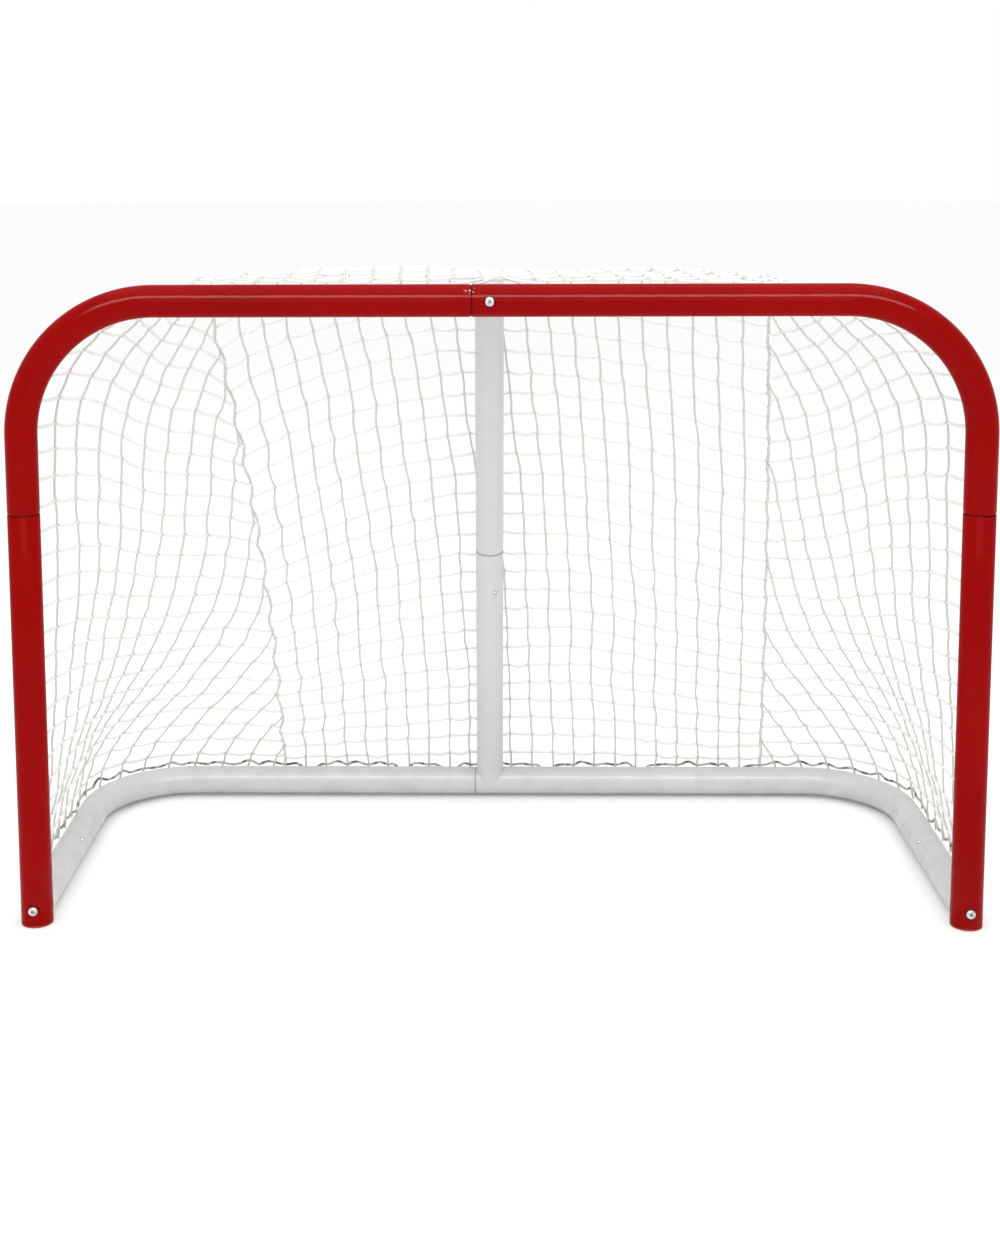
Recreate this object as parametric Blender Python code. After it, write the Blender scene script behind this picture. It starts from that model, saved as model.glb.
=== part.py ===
"""A street hockey goal: a red tube front, a white tube base and a white rear support.

The frame comes apart. Its tubes slip into each other, held by sprung buttons in five of the
joints. Where two tubes meet square on, the end of one is cut to the other's round, and a bolt
through the whole tube draws it in. A knotted net hangs on clips behind the red tubes and
behind the base.

Frame: metres, +X to the right seen from the front, +Y to the back, +Z up, the floor at 0.
"""

import math

import bmesh
import bpy
from mathutils import Matrix, Vector

# Outer size of the frame
FRAME_WIDTH = 1.830
FRAME_HEIGHT = 1.220
FRAME_DEPTH = 0.762
FRAME_OFF_CENTRE_Y = 0.0001  # the clips behind reach a little less far than the bolt heads in front

# Tubes
TUBE_RADIUS = 0.03015
TUBE_WALL = 0.0015
TUBE_SIDES = 18
CORNER_RADIUS = 0.250  # centre line of the two upper corners
CORNER_STEPS = 8
BASE_CORNER_RADIUS = 0.200  # centre line of the two base corners
BASE_CORNER_STEPS = 8
NECK_CORNER_RADIUS = 0.120  # centre line of the support's bend
NECK_CORNER_STEPS = 6
SUPPORT_X = -0.018  # the support stands a little left of the middle
NECK_REACH = 0.430  # from the crossbar's axis to where neck and slope would cross
FLOOR_TO_BASE = 0.0036  # room for the bolt head under the base tubes

# Joints between the tubes
FIT_GAP = 0.0003  # between pieces that touch
SLIP_LENGTH = 0.150  # how far a reduced tube end goes into its socket
SLIP_TAPER = 0.004
POST_SEAM_HEIGHT = 0.794
BASE_SEAM_REACH = 0.400  # from the post's axis to the joint in the side of the base
SUPPORT_SEAM_HEIGHT = 0.600
SEAM_TO_BOLT = 0.033  # the middle joints lie this far left of their bolt
SADDLE_GAP = 0.0005  # behind a tube end that is cut to another tube's round

# Bolts and the threaded plugs that they draw in
BOLT_RADIUS = 0.0040
BOLT_HEAD_RADIUS = 0.0090
BOLT_HEAD_HEIGHT = 0.0045
FLAT_HEAD_HEIGHT = 0.0020  # the bolt under the base is low, to clear the floor
BOLT_HEAD_RIM = 0.0015
SOCKET_RADIUS = 0.0032
SOCKET_DEPTH = 0.0022
FLAT_SOCKET_DEPTH = 0.0012
BOLT_REACH = 0.026  # beyond the far side of the tube that it crosses
PLUG_SETBACK = 0.006  # from the deepest point of the saddle
PLUG_LENGTH = 0.014
ROUND_SIDES = 12

# Foot caps
CAP_FLANGE = 0.0030
CAP_PLUG_TOP = 0.0200

# Sprung buttons
POST_BUTTON_FROM_SEAM = 0.090
BASE_BUTTON_FROM_SEAM = 0.120
SUPPORT_BUTTON_FROM_SEAM = 0.090
BUTTON_RADIUS = 0.0042
BUTTON_PROUD = 0.0035
BUTTON_DOME = 0.0015
BUTTON_FLANGE_RADIUS = 0.0056
BUTTON_FLANGE = 0.0010
SPRING_STRIP = 0.0008
SPRING_WIDTH = 0.0110
SPRING_FLAT = 0.0080  # half the flat end under the button
SPRING_LENGTH = 0.0520
SPRING_BEND_RADIUS = 0.0030
SPRING_FOOT_TURN = 0.0120  # from the button's axis to the foot on the opposite wall
POST_BUTTON_TURN = math.radians(45)  # from straight back towards the outer side
BASE_BUTTON_TURN = math.radians(50)  # from straight up towards the inside of the goal
SUPPORT_BUTTON_TURN = math.radians(24)  # from straight forward towards the right

# Net
STRAND = 0.0036
STRAND_REACH = 0.0018  # from a strand's middle to its furthest corner
NET_EDGE_HEIGHT = math.radians(28)  # how high on the back of the base tube the net's edge lies
NET_LEFT_TOP_X = -0.600
NET_RIGHT_TOP_X = 0.545
NET_LEFT_FOOT_X = -0.490
NET_RIGHT_FOOT_X = 0.603
NET_CORNER_REACH = 0.360  # the roof's rear corners, behind the crossbar's axis
NET_CORNER_DROP = 0.012  # below the top of the roof
NET_ROOF_REACH = 0.470  # the roof's rear edge, over the support
NET_ROOF_DROP = 0.034
NET_CROSSBAR_START = 0.620  # the roof meets the crossbar this far each side of the middle
NET_OVER_NECK = 0.042  # the roof's front edge climbs this far over the neck
NET_LIFT = 0.0352  # the middle of the roof above a straight line to its rear edge
NET_FOOT_RISE = 0.200  # where the net's front edge leaves the post for the base tube
NET_SIDE_BULGE = 0.020
NET_ROUND_FADE_SHARE = 0.32  # the round of the base fades out over this share of a side's height
NET_BACK_BULGE = 0.016
BACK_COLUMNS = 10
BACK_ROWS = 10
ROOF_ROWS = 4
SIDE_COLUMNS = 6
SIDE_ROWS = 9
EDGE_PIECE = 0.045  # longest straight piece of an edge that follows a bend
PANEL_GAP = 0.0022  # half the space between the edges of two panels
NET_OFF_BEND = 0.0012  # the net's edge stands this far off the base's bends
NET_LEAD = 0.030  # straight piece of the edge before and after a base bend
FRONT_EDGE_STEPS = 16
BASE_EDGE_STEPS = 24

# Clips that hold the net's edges
CLIP_LENGTH = 0.012
CLIP_WALL = 0.0014
CLIP_MOUTH = 0.0024
POST_CLIP_ROWS = (1, 3, 5, 7)  # in these gaps of the side net, counted from the floor
CROSSBAR_CLIP_COLUMNS = (0, 1, 2, 3, 6, 7, 8, 9)  # in these gaps of the roof, none at the neck
REAR_CLIP_COLUMNS = (0, 2, 3, 5, 7, 9)  # in these gaps of the back, none at the support
SIDE_CLIP_COLUMNS = (0, 2)  # in these gaps of a side, counted from the post

RED = ("red_powder_coat", (0.42, 0.012, 0.010), 0.22, 0.0)
WHITE = ("white_powder_coat", (0.78, 0.78, 0.76), 0.35, 0.0)
RED_PLASTIC = ("red_plastic", (0.38, 0.014, 0.012), 0.45, 0.0)
ZINC = ("zinc_plated_steel", (0.62, 0.62, 0.60), 0.30, 1.0)
SPRING_STEEL = ("spring_steel", (0.35, 0.35, 0.36), 0.35, 1.0)
NET_CORD = ("white_net_cord", (0.80, 0.79, 0.74), 0.85, 0.0)
CLIP_PLASTIC = ("white_plastic", (0.75, 0.75, 0.73), 0.50, 0.0)

# Places that follow from the sizes
X, Y, Z = Vector((1, 0, 0)), Vector((0, 1, 0)), Vector((0, 0, 1))
POST_X = FRAME_WIDTH / 2 - TUBE_RADIUS
FRONT_Y = -FRAME_DEPTH / 2 + TUBE_RADIUS + FRAME_OFF_CENTRE_Y
REAR_Y = FRAME_DEPTH / 2 - TUBE_RADIUS + FRAME_OFF_CENTRE_Y
BAR_Z = FRAME_HEIGHT - TUBE_RADIUS
BASE_Z = TUBE_RADIUS + FLOOR_TO_BASE
BORE_RADIUS = TUBE_RADIUS - TUBE_WALL
SLIP_RADIUS = BORE_RADIUS - FIT_GAP
SLIP_BORE = SLIP_RADIUS - TUBE_WALL
FACET = math.cos(math.pi / TUBE_SIDES)  # a flat of a tube lies this share of the radius out
SEAM_X = SUPPORT_X - SEAM_TO_BOLT
NECK_Y = FRONT_Y + NECK_REACH
SLOPE = Vector((0, REAR_Y - NECK_Y, BASE_Z - BAR_Z)).normalized()
SLOPE_TURN = math.acos(SLOPE.y)
HOLE_RADIUS = BOLT_RADIUS + FIT_GAP
NET_ROOF_Z = FRAME_HEIGHT + FIT_GAP + STRAND_REACH
CLIP_FLOOR = TUBE_RADIUS + FIT_GAP
NET_OFF = CLIP_FLOOR + CLIP_WALL + FIT_GAP + STRAND_REACH  # from a tube's axis to the net's edge


def clear_scene():
    for item in list(bpy.data.objects):
        bpy.data.objects.remove(item, do_unlink=True)


def material(finish):
    """A Principled material of the given name, colour, roughness and metallic value."""
    name, colour, roughness, metallic = finish
    made = bpy.data.materials.get(name)
    if made is None:
        made = bpy.data.materials.new(name)
        made.use_nodes = True
        shader = made.node_tree.nodes["Principled BSDF"]
        shader.inputs["Base Color"].default_value = (*colour, 1.0)
        shader.inputs["Roughness"].default_value = roughness
        shader.inputs["Metallic"].default_value = metallic
    return made


def add_object(name, form, finish, place=None, smooth=True):
    """Makes an object of a bmesh, its faces turned outwards."""
    bmesh.ops.recalc_face_normals(form, faces=form.faces)
    mesh = bpy.data.meshes.new(name)
    form.to_mesh(mesh)
    form.free()
    if smooth:
        mesh.shade_smooth()
        mesh.set_sharp_from_angle(angle=math.radians(35))
    made = bpy.data.objects.new(name, mesh)
    made.data.materials.append(material(finish))
    if place is not None:
        made.matrix_world = place
    bpy.context.scene.collection.objects.link(made)
    return made


def frame_on(origin, up, side):
    """The placing of a piece that is modelled along +Z at the origin, with side as its +X."""
    up = up.normalized()
    side = (side - up * side.dot(up)).normalized()
    turned_axes = Matrix((side, up.cross(side), up)).transposed()
    return Matrix.Translation(origin) @ turned_axes.to_4x4()


def skin_rings(rings, closed=False):
    """A closed body through rings of points; an open row of rings gets a cap at each end."""
    form = bmesh.new()
    made = [[form.verts.new(point) for point in ring] for ring in rings]
    pairs = list(zip(made, made[1:]))
    if closed:
        pairs.append((made[-1], made[0]))
    for near, far in pairs:
        count = len(near)
        for i in range(count):
            form.faces.new((near[i], near[(i + 1) % count], far[(i + 1) % count], far[i]))
    if not closed:
        form.faces.new(made[0])
        form.faces.new(made[-1])
    return form


def turned(name, profile, finish, place, sides=ROUND_SIDES):
    """A turned piece: profile holds (radius, height) pairs, from its foot to its top."""
    form = bmesh.new()
    rows = []
    for radius, height in profile:
        if radius == 0:
            rows.append([form.verts.new((0, 0, height))])
            continue
        angles = [2 * math.pi * i / sides for i in range(sides)]
        rows.append(
            [form.verts.new((radius * math.cos(a), radius * math.sin(a), height)) for a in angles]
        )
    pairs = list(zip(rows, rows[1:]))
    if profile[0][0] != 0:
        pairs.append((rows[-1], rows[0]))
    for low, high in pairs:
        for i in range(sides):
            j = (i + 1) % sides
            corners = [low[i % len(low)], low[j % len(low)], high[j % len(high)], high[i % len(high)]]
            form.faces.new(list(dict.fromkeys(corners)))
    return add_object(name, form, finish, place)


class TubeRun:
    """A tube's centre line in one plane, laid down from one end, with its radii on the way."""

    def __init__(self, start, heading, side, outer=TUBE_RADIUS, inner=BORE_RADIUS):
        self.side = side
        self.stations = [(start.copy(), heading.copy(), outer, inner)]

    def straight(self, length, outer=None, inner=None):
        point, heading, last_outer, last_inner = self.stations[-1]
        self.stations.append(
            (point + heading * length, heading, outer or last_outer, inner or last_inner)
        )

    def bend(self, radius, angle, steps):
        point, heading, outer, inner = self.stations[-1]
        centre = point + self.side.cross(heading) * radius * math.copysign(1, angle)
        for i in range(1, steps + 1):
            turn = Matrix.Rotation(angle * i / steps, 3, self.side)
            place = centre + turn @ (point - centre)
            self.stations.append((place, turn @ heading, outer, inner))

    def rings(self, which):
        made = []
        for point, heading, outer, inner in self.stations:
            radius = outer if which == "outer" else inner
            across = heading.cross(self.side)
            angles = [2 * math.pi * (i + 0.5) / TUBE_SIDES for i in range(TUBE_SIDES)]
            made.append(
                [point + (self.side * math.cos(a) + across * math.sin(a)) * radius for a in angles]
            )
        return made

    def saddle(self, ring, heading, on_point, on_axis):
        """Slides a ring's points along heading to the round of the tube at on_point."""
        reach = TUBE_RADIUS + SADDLE_GAP
        for i, point in enumerate(ring):
            across = heading.cross(on_axis).normalized()
            off = (point - on_point).dot(across)
            back = math.sqrt(max(reach**2 - off**2, 0))
            along = (point - on_point).dot(heading)
            ring[i] = point - heading * (along + back)

    def tube(self, name, finish, start_on=None, end_on=None):
        """The hollow tube. start_on and end_on are the (point, axis) of a tube that it meets."""
        outer, inner = self.rings("outer"), self.rings("inner")
        if start_on:
            heading = -self.stations[0][1]
            for ring in (outer[0], inner[0]):
                self.saddle(ring, heading, *start_on)
        if end_on:
            heading = self.stations[-1][1]
            for ring in (outer[-1], inner[-1]):
                self.saddle(ring, heading, *end_on)
        form = skin_rings(outer + inner[::-1], closed=True)
        return add_object(name, form, finish)


def drill(target, centre, direction, radius, length):
    """Cuts a round hole, centred on a point, with a cutter that isn't part of the goal."""
    form = bmesh.new()
    bmesh.ops.create_cone(
        form,
        cap_ends=True,
        segments=ROUND_SIDES,
        radius1=radius,
        radius2=radius,
        depth=length,
        matrix=direction.to_track_quat("Z", "Y").to_matrix().to_4x4(),
    )
    bmesh.ops.translate(form, verts=form.verts, vec=centre)
    cutter = add_object(f"cutter_{target.name}_{len(target.modifiers)}", form, ZINC)
    cutter.hide_render = True
    cutter.display_type = "WIRE"
    cut = target.modifiers.new("hole", "BOOLEAN")
    cut.operation = "DIFFERENCE"
    cut.solver = "EXACT"
    cut.object = cutter


def slip_end(run):
    """Ends a run with a reduced end that goes into the next tube."""
    run.straight(SLIP_TAPER, SLIP_RADIUS, SLIP_BORE)
    run.straight(SLIP_LENGTH)


def side_name(side):
    return "left" if side < 0 else "right"


def make_top_bend(side):
    """Half the crossbar, an upper corner and the reduced end that goes into the post."""
    heading = X * side
    if side < 0:
        start = Vector((SEAM_X + SLIP_LENGTH, FRONT_Y, BAR_Z))
        run = TubeRun(start, heading, Y, SLIP_RADIUS, SLIP_BORE)
        run.straight(SLIP_LENGTH)
        run.straight(SLIP_TAPER, TUBE_RADIUS, BORE_RADIUS)
    else:
        run = TubeRun(Vector((SEAM_X + FIT_GAP, FRONT_Y, BAR_Z)), heading, Y)
    corner_start = (POST_X - CORNER_RADIUS) * side
    run.straight(abs(corner_start - run.stations[-1][0].x))
    run.bend(CORNER_RADIUS, math.pi / 2 * side, CORNER_STEPS)
    run.straight(run.stations[-1][0].z - POST_SEAM_HEIGHT - FIT_GAP - SLIP_TAPER)
    slip_end(run)
    made = run.tube(f"{side_name(side)}_top_bend", RED)
    drill(made, Vector((SUPPORT_X, FRONT_Y, BAR_Z)), Y, HOLE_RADIUS, 3 * TUBE_RADIUS)
    drill_button_hole(made, post_button(side))
    return made


def make_post(side):
    """A lower post: the socket for the corner above, the bolt hole and the foot below."""
    top = Vector((POST_X * side, FRONT_Y, POST_SEAM_HEIGHT))
    run = TubeRun(top, -Z, Y)
    run.straight(POST_SEAM_HEIGHT - CAP_FLANGE - FIT_GAP)
    made = run.tube(f"{side_name(side)}_lower_post", RED)
    drill(made, Vector((POST_X * side, FRONT_Y, BASE_Z)), Y, HOLE_RADIUS, 3 * TUBE_RADIUS)
    drill_button_hole(made, post_button(side))


def make_foot_cap(side):
    """A flanged plug in the post's lower end, on which the goal stands."""
    plug = BORE_RADIUS * FACET - FIT_GAP
    edge = 0.0008
    profile = [
        (0, 0),
        (TUBE_RADIUS - edge, 0),
        (TUBE_RADIUS, edge),
        (TUBE_RADIUS, CAP_FLANGE),
        (plug, CAP_FLANGE),
        (plug, CAP_PLUG_TOP - edge),
        (plug - edge, CAP_PLUG_TOP),
        (0, CAP_PLUG_TOP),
    ]
    place = Matrix.Translation((POST_X * side, FRONT_Y, 0))
    turned(f"{side_name(side)}_foot_cap", profile, RED_PLASTIC, place, TUBE_SIDES)


def make_base_front(side):
    """The front of a base side: cut to the post's round, a socket at its far end."""
    start = Vector((POST_X * side, FRONT_Y + TUBE_RADIUS, BASE_Z))
    run = TubeRun(start, Y, Z)
    run.straight(BASE_SEAM_REACH - TUBE_RADIUS)
    post = (Vector((POST_X * side, FRONT_Y, BASE_Z)), Z)
    made = run.tube(f"{side_name(side)}_base_front_tube", WHITE, start_on=post)
    drill_button_hole(made, base_button(side))


def make_base_bend(side):
    """Half the rear of the base, its corner and the reduced end for the front tube."""
    heading = X * side
    if side < 0:
        start = Vector((SEAM_X + SLIP_LENGTH, REAR_Y, BASE_Z))
        run = TubeRun(start, heading, Z, SLIP_RADIUS, SLIP_BORE)
        run.straight(SLIP_LENGTH)
        run.straight(SLIP_TAPER, TUBE_RADIUS, BORE_RADIUS)
    else:
        run = TubeRun(Vector((SEAM_X + FIT_GAP, REAR_Y, BASE_Z)), heading, Z)
    corner_start = (POST_X - BASE_CORNER_RADIUS) * side
    run.straight(abs(corner_start - run.stations[-1][0].x))
    run.bend(BASE_CORNER_RADIUS, -math.pi / 2 * side, BASE_CORNER_STEPS)
    seam_y = FRONT_Y + BASE_SEAM_REACH
    run.straight(run.stations[-1][0].y - seam_y - FIT_GAP - SLIP_TAPER)
    slip_end(run)
    made = run.tube(f"{side_name(side)}_base_bend", WHITE)
    drill(made, Vector((SUPPORT_X, REAR_Y, BASE_Z)), SLOPE, HOLE_RADIUS, 3 * TUBE_RADIUS)
    drill_button_hole(made, base_button(side))


def support_seam():
    """The point on the support's sloping axis where its two tubes join."""
    foot = Vector((SUPPORT_X, REAR_Y, BASE_Z))
    return foot + SLOPE * ((SUPPORT_SEAM_HEIGHT - BASE_Z) / SLOPE.z)


def make_support():
    """The neck behind the crossbar, its bend and slope, and the lower tube to the base."""
    corner = Vector((SUPPORT_X, NECK_Y, BAR_Z))
    seam = support_seam()
    tangent = NECK_CORNER_RADIUS * math.tan(SLOPE_TURN / 2)
    run = TubeRun(Vector((SUPPORT_X, FRONT_Y + TUBE_RADIUS, BAR_Z)), Y, X)
    run.straight(NECK_REACH - TUBE_RADIUS - tangent)
    run.bend(NECK_CORNER_RADIUS, -SLOPE_TURN, NECK_CORNER_STEPS)
    run.straight((seam - corner).length - tangent - FIT_GAP - SLIP_TAPER)
    slip_end(run)
    crossbar = (Vector((SUPPORT_X, FRONT_Y, BAR_Z)), X)
    upper = run.tube("upper_support_tube", WHITE, start_on=crossbar)
    drill_button_hole(upper, support_button())

    foot = Vector((SUPPORT_X, REAR_Y, BASE_Z))
    low = TubeRun(seam, SLOPE, X)
    low.straight((foot - seam).length - TUBE_RADIUS)
    lower = low.tube("lower_support_tube", WHITE, end_on=(foot, X))
    drill_button_hole(lower, support_button())


def bolt(name, seat, inwards, head_height, socket_depth):
    """A bolt that crosses a whole tube: seat is on the tube's axis, inwards its direction."""
    tip = -(2 * TUBE_RADIUS + FIT_GAP + BOLT_REACH)
    profile = [
        (0, tip),
        (BOLT_RADIUS - 0.0008, tip),
        (BOLT_RADIUS, tip + 0.0008),
        (BOLT_RADIUS, 0),
        (BOLT_HEAD_RADIUS, 0),
        (BOLT_HEAD_RADIUS, min(BOLT_HEAD_RIM, head_height / 2)),
        (BOLT_HEAD_RADIUS * 0.72, head_height * 0.86),
        (SOCKET_RADIUS, head_height),
        (SOCKET_RADIUS, head_height - socket_depth),
        (0, head_height - socket_depth),
    ]
    head = seat - inwards * (TUBE_RADIUS + FIT_GAP)
    return turned(name, profile, ZINC, frame_on(head, -inwards, X))


def plug(name, seat, inwards):
    """A threaded plug in the end of the tube that a bolt draws in."""
    depth = TUBE_RADIUS + SADDLE_GAP + PLUG_SETBACK
    body = BORE_RADIUS * FACET - FIT_GAP
    profile = [
        (HOLE_RADIUS, 0),
        (body - 0.0006, 0),
        (body, 0.0006),
        (body, PLUG_LENGTH),
        (HOLE_RADIUS, PLUG_LENGTH),
    ]
    turned(name, profile, ZINC, frame_on(seat + inwards * depth, inwards, X), TUBE_SIDES)


def make_bolted_joints():
    middle = Vector((SUPPORT_X, FRONT_Y, BAR_Z))
    bolt("crossbar_bolt", middle, Y, BOLT_HEAD_HEIGHT, SOCKET_DEPTH)
    plug("neck_plug", middle, Y)
    rear = Vector((SUPPORT_X, REAR_Y, BASE_Z))
    bolt("rear_base_bolt", rear, -SLOPE, FLAT_HEAD_HEIGHT, FLAT_SOCKET_DEPTH)
    plug("support_foot_plug", rear, -SLOPE)
    for side in (-1, 1):
        foot = Vector((POST_X * side, FRONT_Y, BASE_Z))
        bolt(f"{side_name(side)}_foot_bolt", foot, Y, BOLT_HEAD_HEIGHT, SOCKET_DEPTH)
        plug(f"{side_name(side)}_base_plug", foot, Y)


def post_button(side):
    """Where a button is: a point on the tube's axis, the way out, and the way into the socket."""
    centre = Vector((POST_X * side, FRONT_Y, POST_SEAM_HEIGHT - POST_BUTTON_FROM_SEAM))
    out = Y * math.cos(POST_BUTTON_TURN) + X * side * math.sin(POST_BUTTON_TURN)
    return centre, out, -Z


def base_button(side):
    centre = Vector((POST_X * side, FRONT_Y + BASE_SEAM_REACH - BASE_BUTTON_FROM_SEAM, BASE_Z))
    out = Z * math.cos(BASE_BUTTON_TURN) - X * side * math.sin(BASE_BUTTON_TURN)
    return centre, out, -Y


def support_button():
    centre = support_seam() + SLOPE * SUPPORT_BUTTON_FROM_SEAM
    forward = SLOPE.cross(X)
    out = forward * math.cos(SUPPORT_BUTTON_TURN) + X * math.sin(SUPPORT_BUTTON_TURN)
    return centre, out, SLOPE


def drill_button_hole(target, button):
    centre, out, _ = button
    drill(target, centre + out * TUBE_RADIUS, out, BUTTON_RADIUS + FIT_GAP, TUBE_RADIUS)


def make_button(name, button):
    """A round button on a flange, held out by a bent strip spring inside the tube."""
    centre, out, inwards = button
    wall = SLIP_BORE * FACET
    flange_top = math.sqrt(wall**2 - BUTTON_FLANGE_RADIUS**2) - FIT_GAP
    flange_low = flange_top - BUTTON_FLANGE
    top = TUBE_RADIUS + BUTTON_PROUD
    profile = [
        (0, 0),
        (BUTTON_FLANGE_RADIUS, 0),
        (BUTTON_FLANGE_RADIUS, BUTTON_FLANGE),
        (BUTTON_RADIUS, BUTTON_FLANGE),
        (BUTTON_RADIUS, top - flange_low - BUTTON_DOME),
        (BUTTON_RADIUS * 0.8, top - flange_low - BUTTON_DOME * 0.35),
        (0, top - flange_low),
    ]
    turned(f"{name}_button", profile, ZINC, frame_on(centre + out * flange_low, out, inwards))
    make_button_spring(f"{name}_button_spring", centre, out, -inwards, flange_low - FIT_GAP)


def make_button_spring(name, centre, out, along, leg_top):
    """A strip bent to a V: one leg under the button, the other on the opposite wall."""
    half = SPRING_STRIP / 2
    wall = math.sqrt((SLIP_BORE * FACET) ** 2 - (SPRING_WIDTH / 2) ** 2) - FIT_GAP
    high = leg_top - half
    low = -wall + half
    apex = SPRING_LENGTH - SPRING_BEND_RADIUS
    line = [Vector((-SPRING_FLAT, high)), Vector((SPRING_FLAT, high))]
    for i in range(7):
        a = math.radians(75 - 25 * i)
        line.append(
            Vector((apex + SPRING_BEND_RADIUS * math.cos(a), SPRING_BEND_RADIUS * math.sin(a)))
        )
    line.append(Vector((SPRING_FOOT_TURN, low)))
    line.append(Vector((SPRING_FOOT_TURN - SPRING_FLAT, low + half)))
    sides = [[], []]
    for i, point in enumerate(line):
        ahead = line[min(i + 1, len(line) - 1)] - point
        behind = point - line[max(i - 1, 0)]
        run = (ahead.normalized() if ahead.length else Vector((0, 0))) + (
            behind.normalized() if behind.length else Vector((0, 0))
        )
        run.normalize()
        normal = Vector((-run.y, run.x))
        sides[0].append(point + normal * half)
        sides[1].append(point - normal * half)
    outline = sides[0] + sides[1][::-1]
    across = out.cross(along)
    rings = []
    for edge in (-SPRING_WIDTH / 2, SPRING_WIDTH / 2):
        rings.append([centre + along * p.x + out * p.y + across * edge for p in outline])
    add_object(name, skin_rings(rings), SPRING_STEEL)


# The net's edges


def along_line(points, share):
    """A point at a share of the length of a row of points."""
    steps = [(b - a).length for a, b in zip(points, points[1:])]
    left = share * sum(steps)
    for a, b, step in zip(points, points[1:], steps):
        if left <= step:
            return a.lerp(b, left / step)
        left -= step
    return points[-1].copy()


def arc(centre, start, end, radius, steps):
    """Points of a quarter turn from one direction to another."""
    turns = [math.pi / 2 * i / steps for i in range(steps + 1)]
    return [centre + (start * math.cos(a) + end * math.sin(a)) * radius for a in turns]


def front_edge(side, end_x):
    """From the foot of a post, up its back and round the corner, to end_x on the crossbar."""
    out = NET_OFF * math.cos(NET_EDGE_HEIGHT)
    y = FRONT_Y + NET_OFF
    corner_z = BAR_Z - CORNER_RADIUS
    corner = Vector(((POST_X - CORNER_RADIUS) * side, y, corner_z))
    points = [
        Vector(((POST_X + out) * side, y, BASE_Z + NET_OFF * math.sin(NET_EDGE_HEIGHT))),
        Vector((POST_X * side, y, NET_FOOT_RISE)),
    ]
    points += arc(corner, X * side, Z, CORNER_RADIUS, FRONT_EDGE_STEPS)
    points.append(Vector((end_x, y, BAR_Z)))
    return points


def base_edge(side, end_x):
    """From behind the post along the outer side of the base, round its corner, to end_x."""
    out = NET_OFF * math.cos(NET_EDGE_HEIGHT)
    z = BASE_Z + NET_OFF * math.sin(NET_EDGE_HEIGHT)
    corner = Vector(((POST_X - BASE_CORNER_RADIUS) * side, REAR_Y - BASE_CORNER_RADIUS, z))
    radius = BASE_CORNER_RADIUS + out + NET_OFF_BEND
    points = [Vector(((POST_X + out) * side, FRONT_Y + NET_OFF, z))]
    points.append(Vector(((POST_X + out) * side, corner.y - NET_LEAD, z)))
    points += arc(corner, X * side, Y, radius, BASE_EDGE_STEPS)
    points.append(Vector((corner.x - NET_LEAD * side, REAR_Y + out, z)))
    points.append(Vector((end_x, REAR_Y + out, z)))
    return points


def roof_corner(side):
    x = NET_LEFT_TOP_X if side < 0 else NET_RIGHT_TOP_X
    return Vector((x, FRONT_Y + NET_CORNER_REACH, NET_ROOF_Z - NET_CORNER_DROP))


def roof_rear(share):
    """The rear edge of the roof, from the left corner over the support to the right one."""
    left, right = roof_corner(-1), roof_corner(1)
    point = left.lerp(right, share)
    rise = math.sin(math.pi * share)
    point.y += rise * (NET_ROOF_REACH - NET_CORNER_REACH)
    point.z += rise * (NET_CORNER_DROP - NET_ROOF_DROP)
    return point


def seam_line(side, share):
    """The edge between side and back, from the base up to the roof's corner."""
    foot_x = NET_LEFT_FOOT_X if side < 0 else NET_RIGHT_FOOT_X
    foot = along_line(base_edge(side, foot_x), 1.0)
    point = foot.lerp(roof_corner(side), share)
    point.y += NET_SIDE_BULGE * math.sin(math.pi * share)
    return point


def coons(low, high, near, far, u, v):
    """A surface between four edges; low and high run with u, near and far with v."""
    ruled = low(u).lerp(high(u), v) + near(v).lerp(far(v), u)
    flat = low(0).lerp(low(1), u).lerp(high(0).lerp(high(1), u), v)
    return ruled - flat


def edge_pieces(length):
    """How many straight pieces follow a bent edge. It is odd, so a clip at the middle holds one."""
    return math.ceil(length / EDGE_PIECE) // 2 * 2 + 1


def net_panel(name, surface, columns, rows, fine_sides=()):
    """A coarse net on a surface of (u, v). Edges in fine_sides follow bends in short pieces."""
    form = bmesh.new()
    grid = [
        [form.verts.new(surface(i / columns, j / rows)) for j in range(rows + 1)]
        for i in range(columns + 1)
    ]

    def fine(a, b, span):
        """The points between two grid points on a bent edge."""
        count = edge_pieces((a.co - b.co).length)
        return [form.verts.new(surface(*span(k / count))) for k in range(1, count)]

    low_points, near_points = {}, {}
    if "low" in fine_sides:
        for i in range(columns):
            low_points[i] = fine(
                grid[i][0], grid[i + 1][0], lambda t, i=i: ((i + t) / columns, 0)
            )
    if "near" in fine_sides:
        for j in range(rows):
            near_points[j] = fine(grid[0][j], grid[0][j + 1], lambda t, j=j: (0, (j + t) / rows))
    for i in range(columns):
        for j in range(rows):
            ring = [grid[i][j]]
            if j == 0:
                ring += low_points.get(i, [])
            ring += [grid[i + 1][j], grid[i + 1][j + 1], grid[i][j + 1]]
            if i == 0:
                ring += near_points.get(j, [])[::-1]
            form.faces.new(ring)
    made = add_object(name, form, NET_CORD, smooth=False)
    strands = made.modifiers.new("strands", "WIREFRAME")
    strands.thickness = STRAND
    strands.use_boundary = True
    strands.use_replace = True
    strands.use_even_offset = False
    return made


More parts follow.
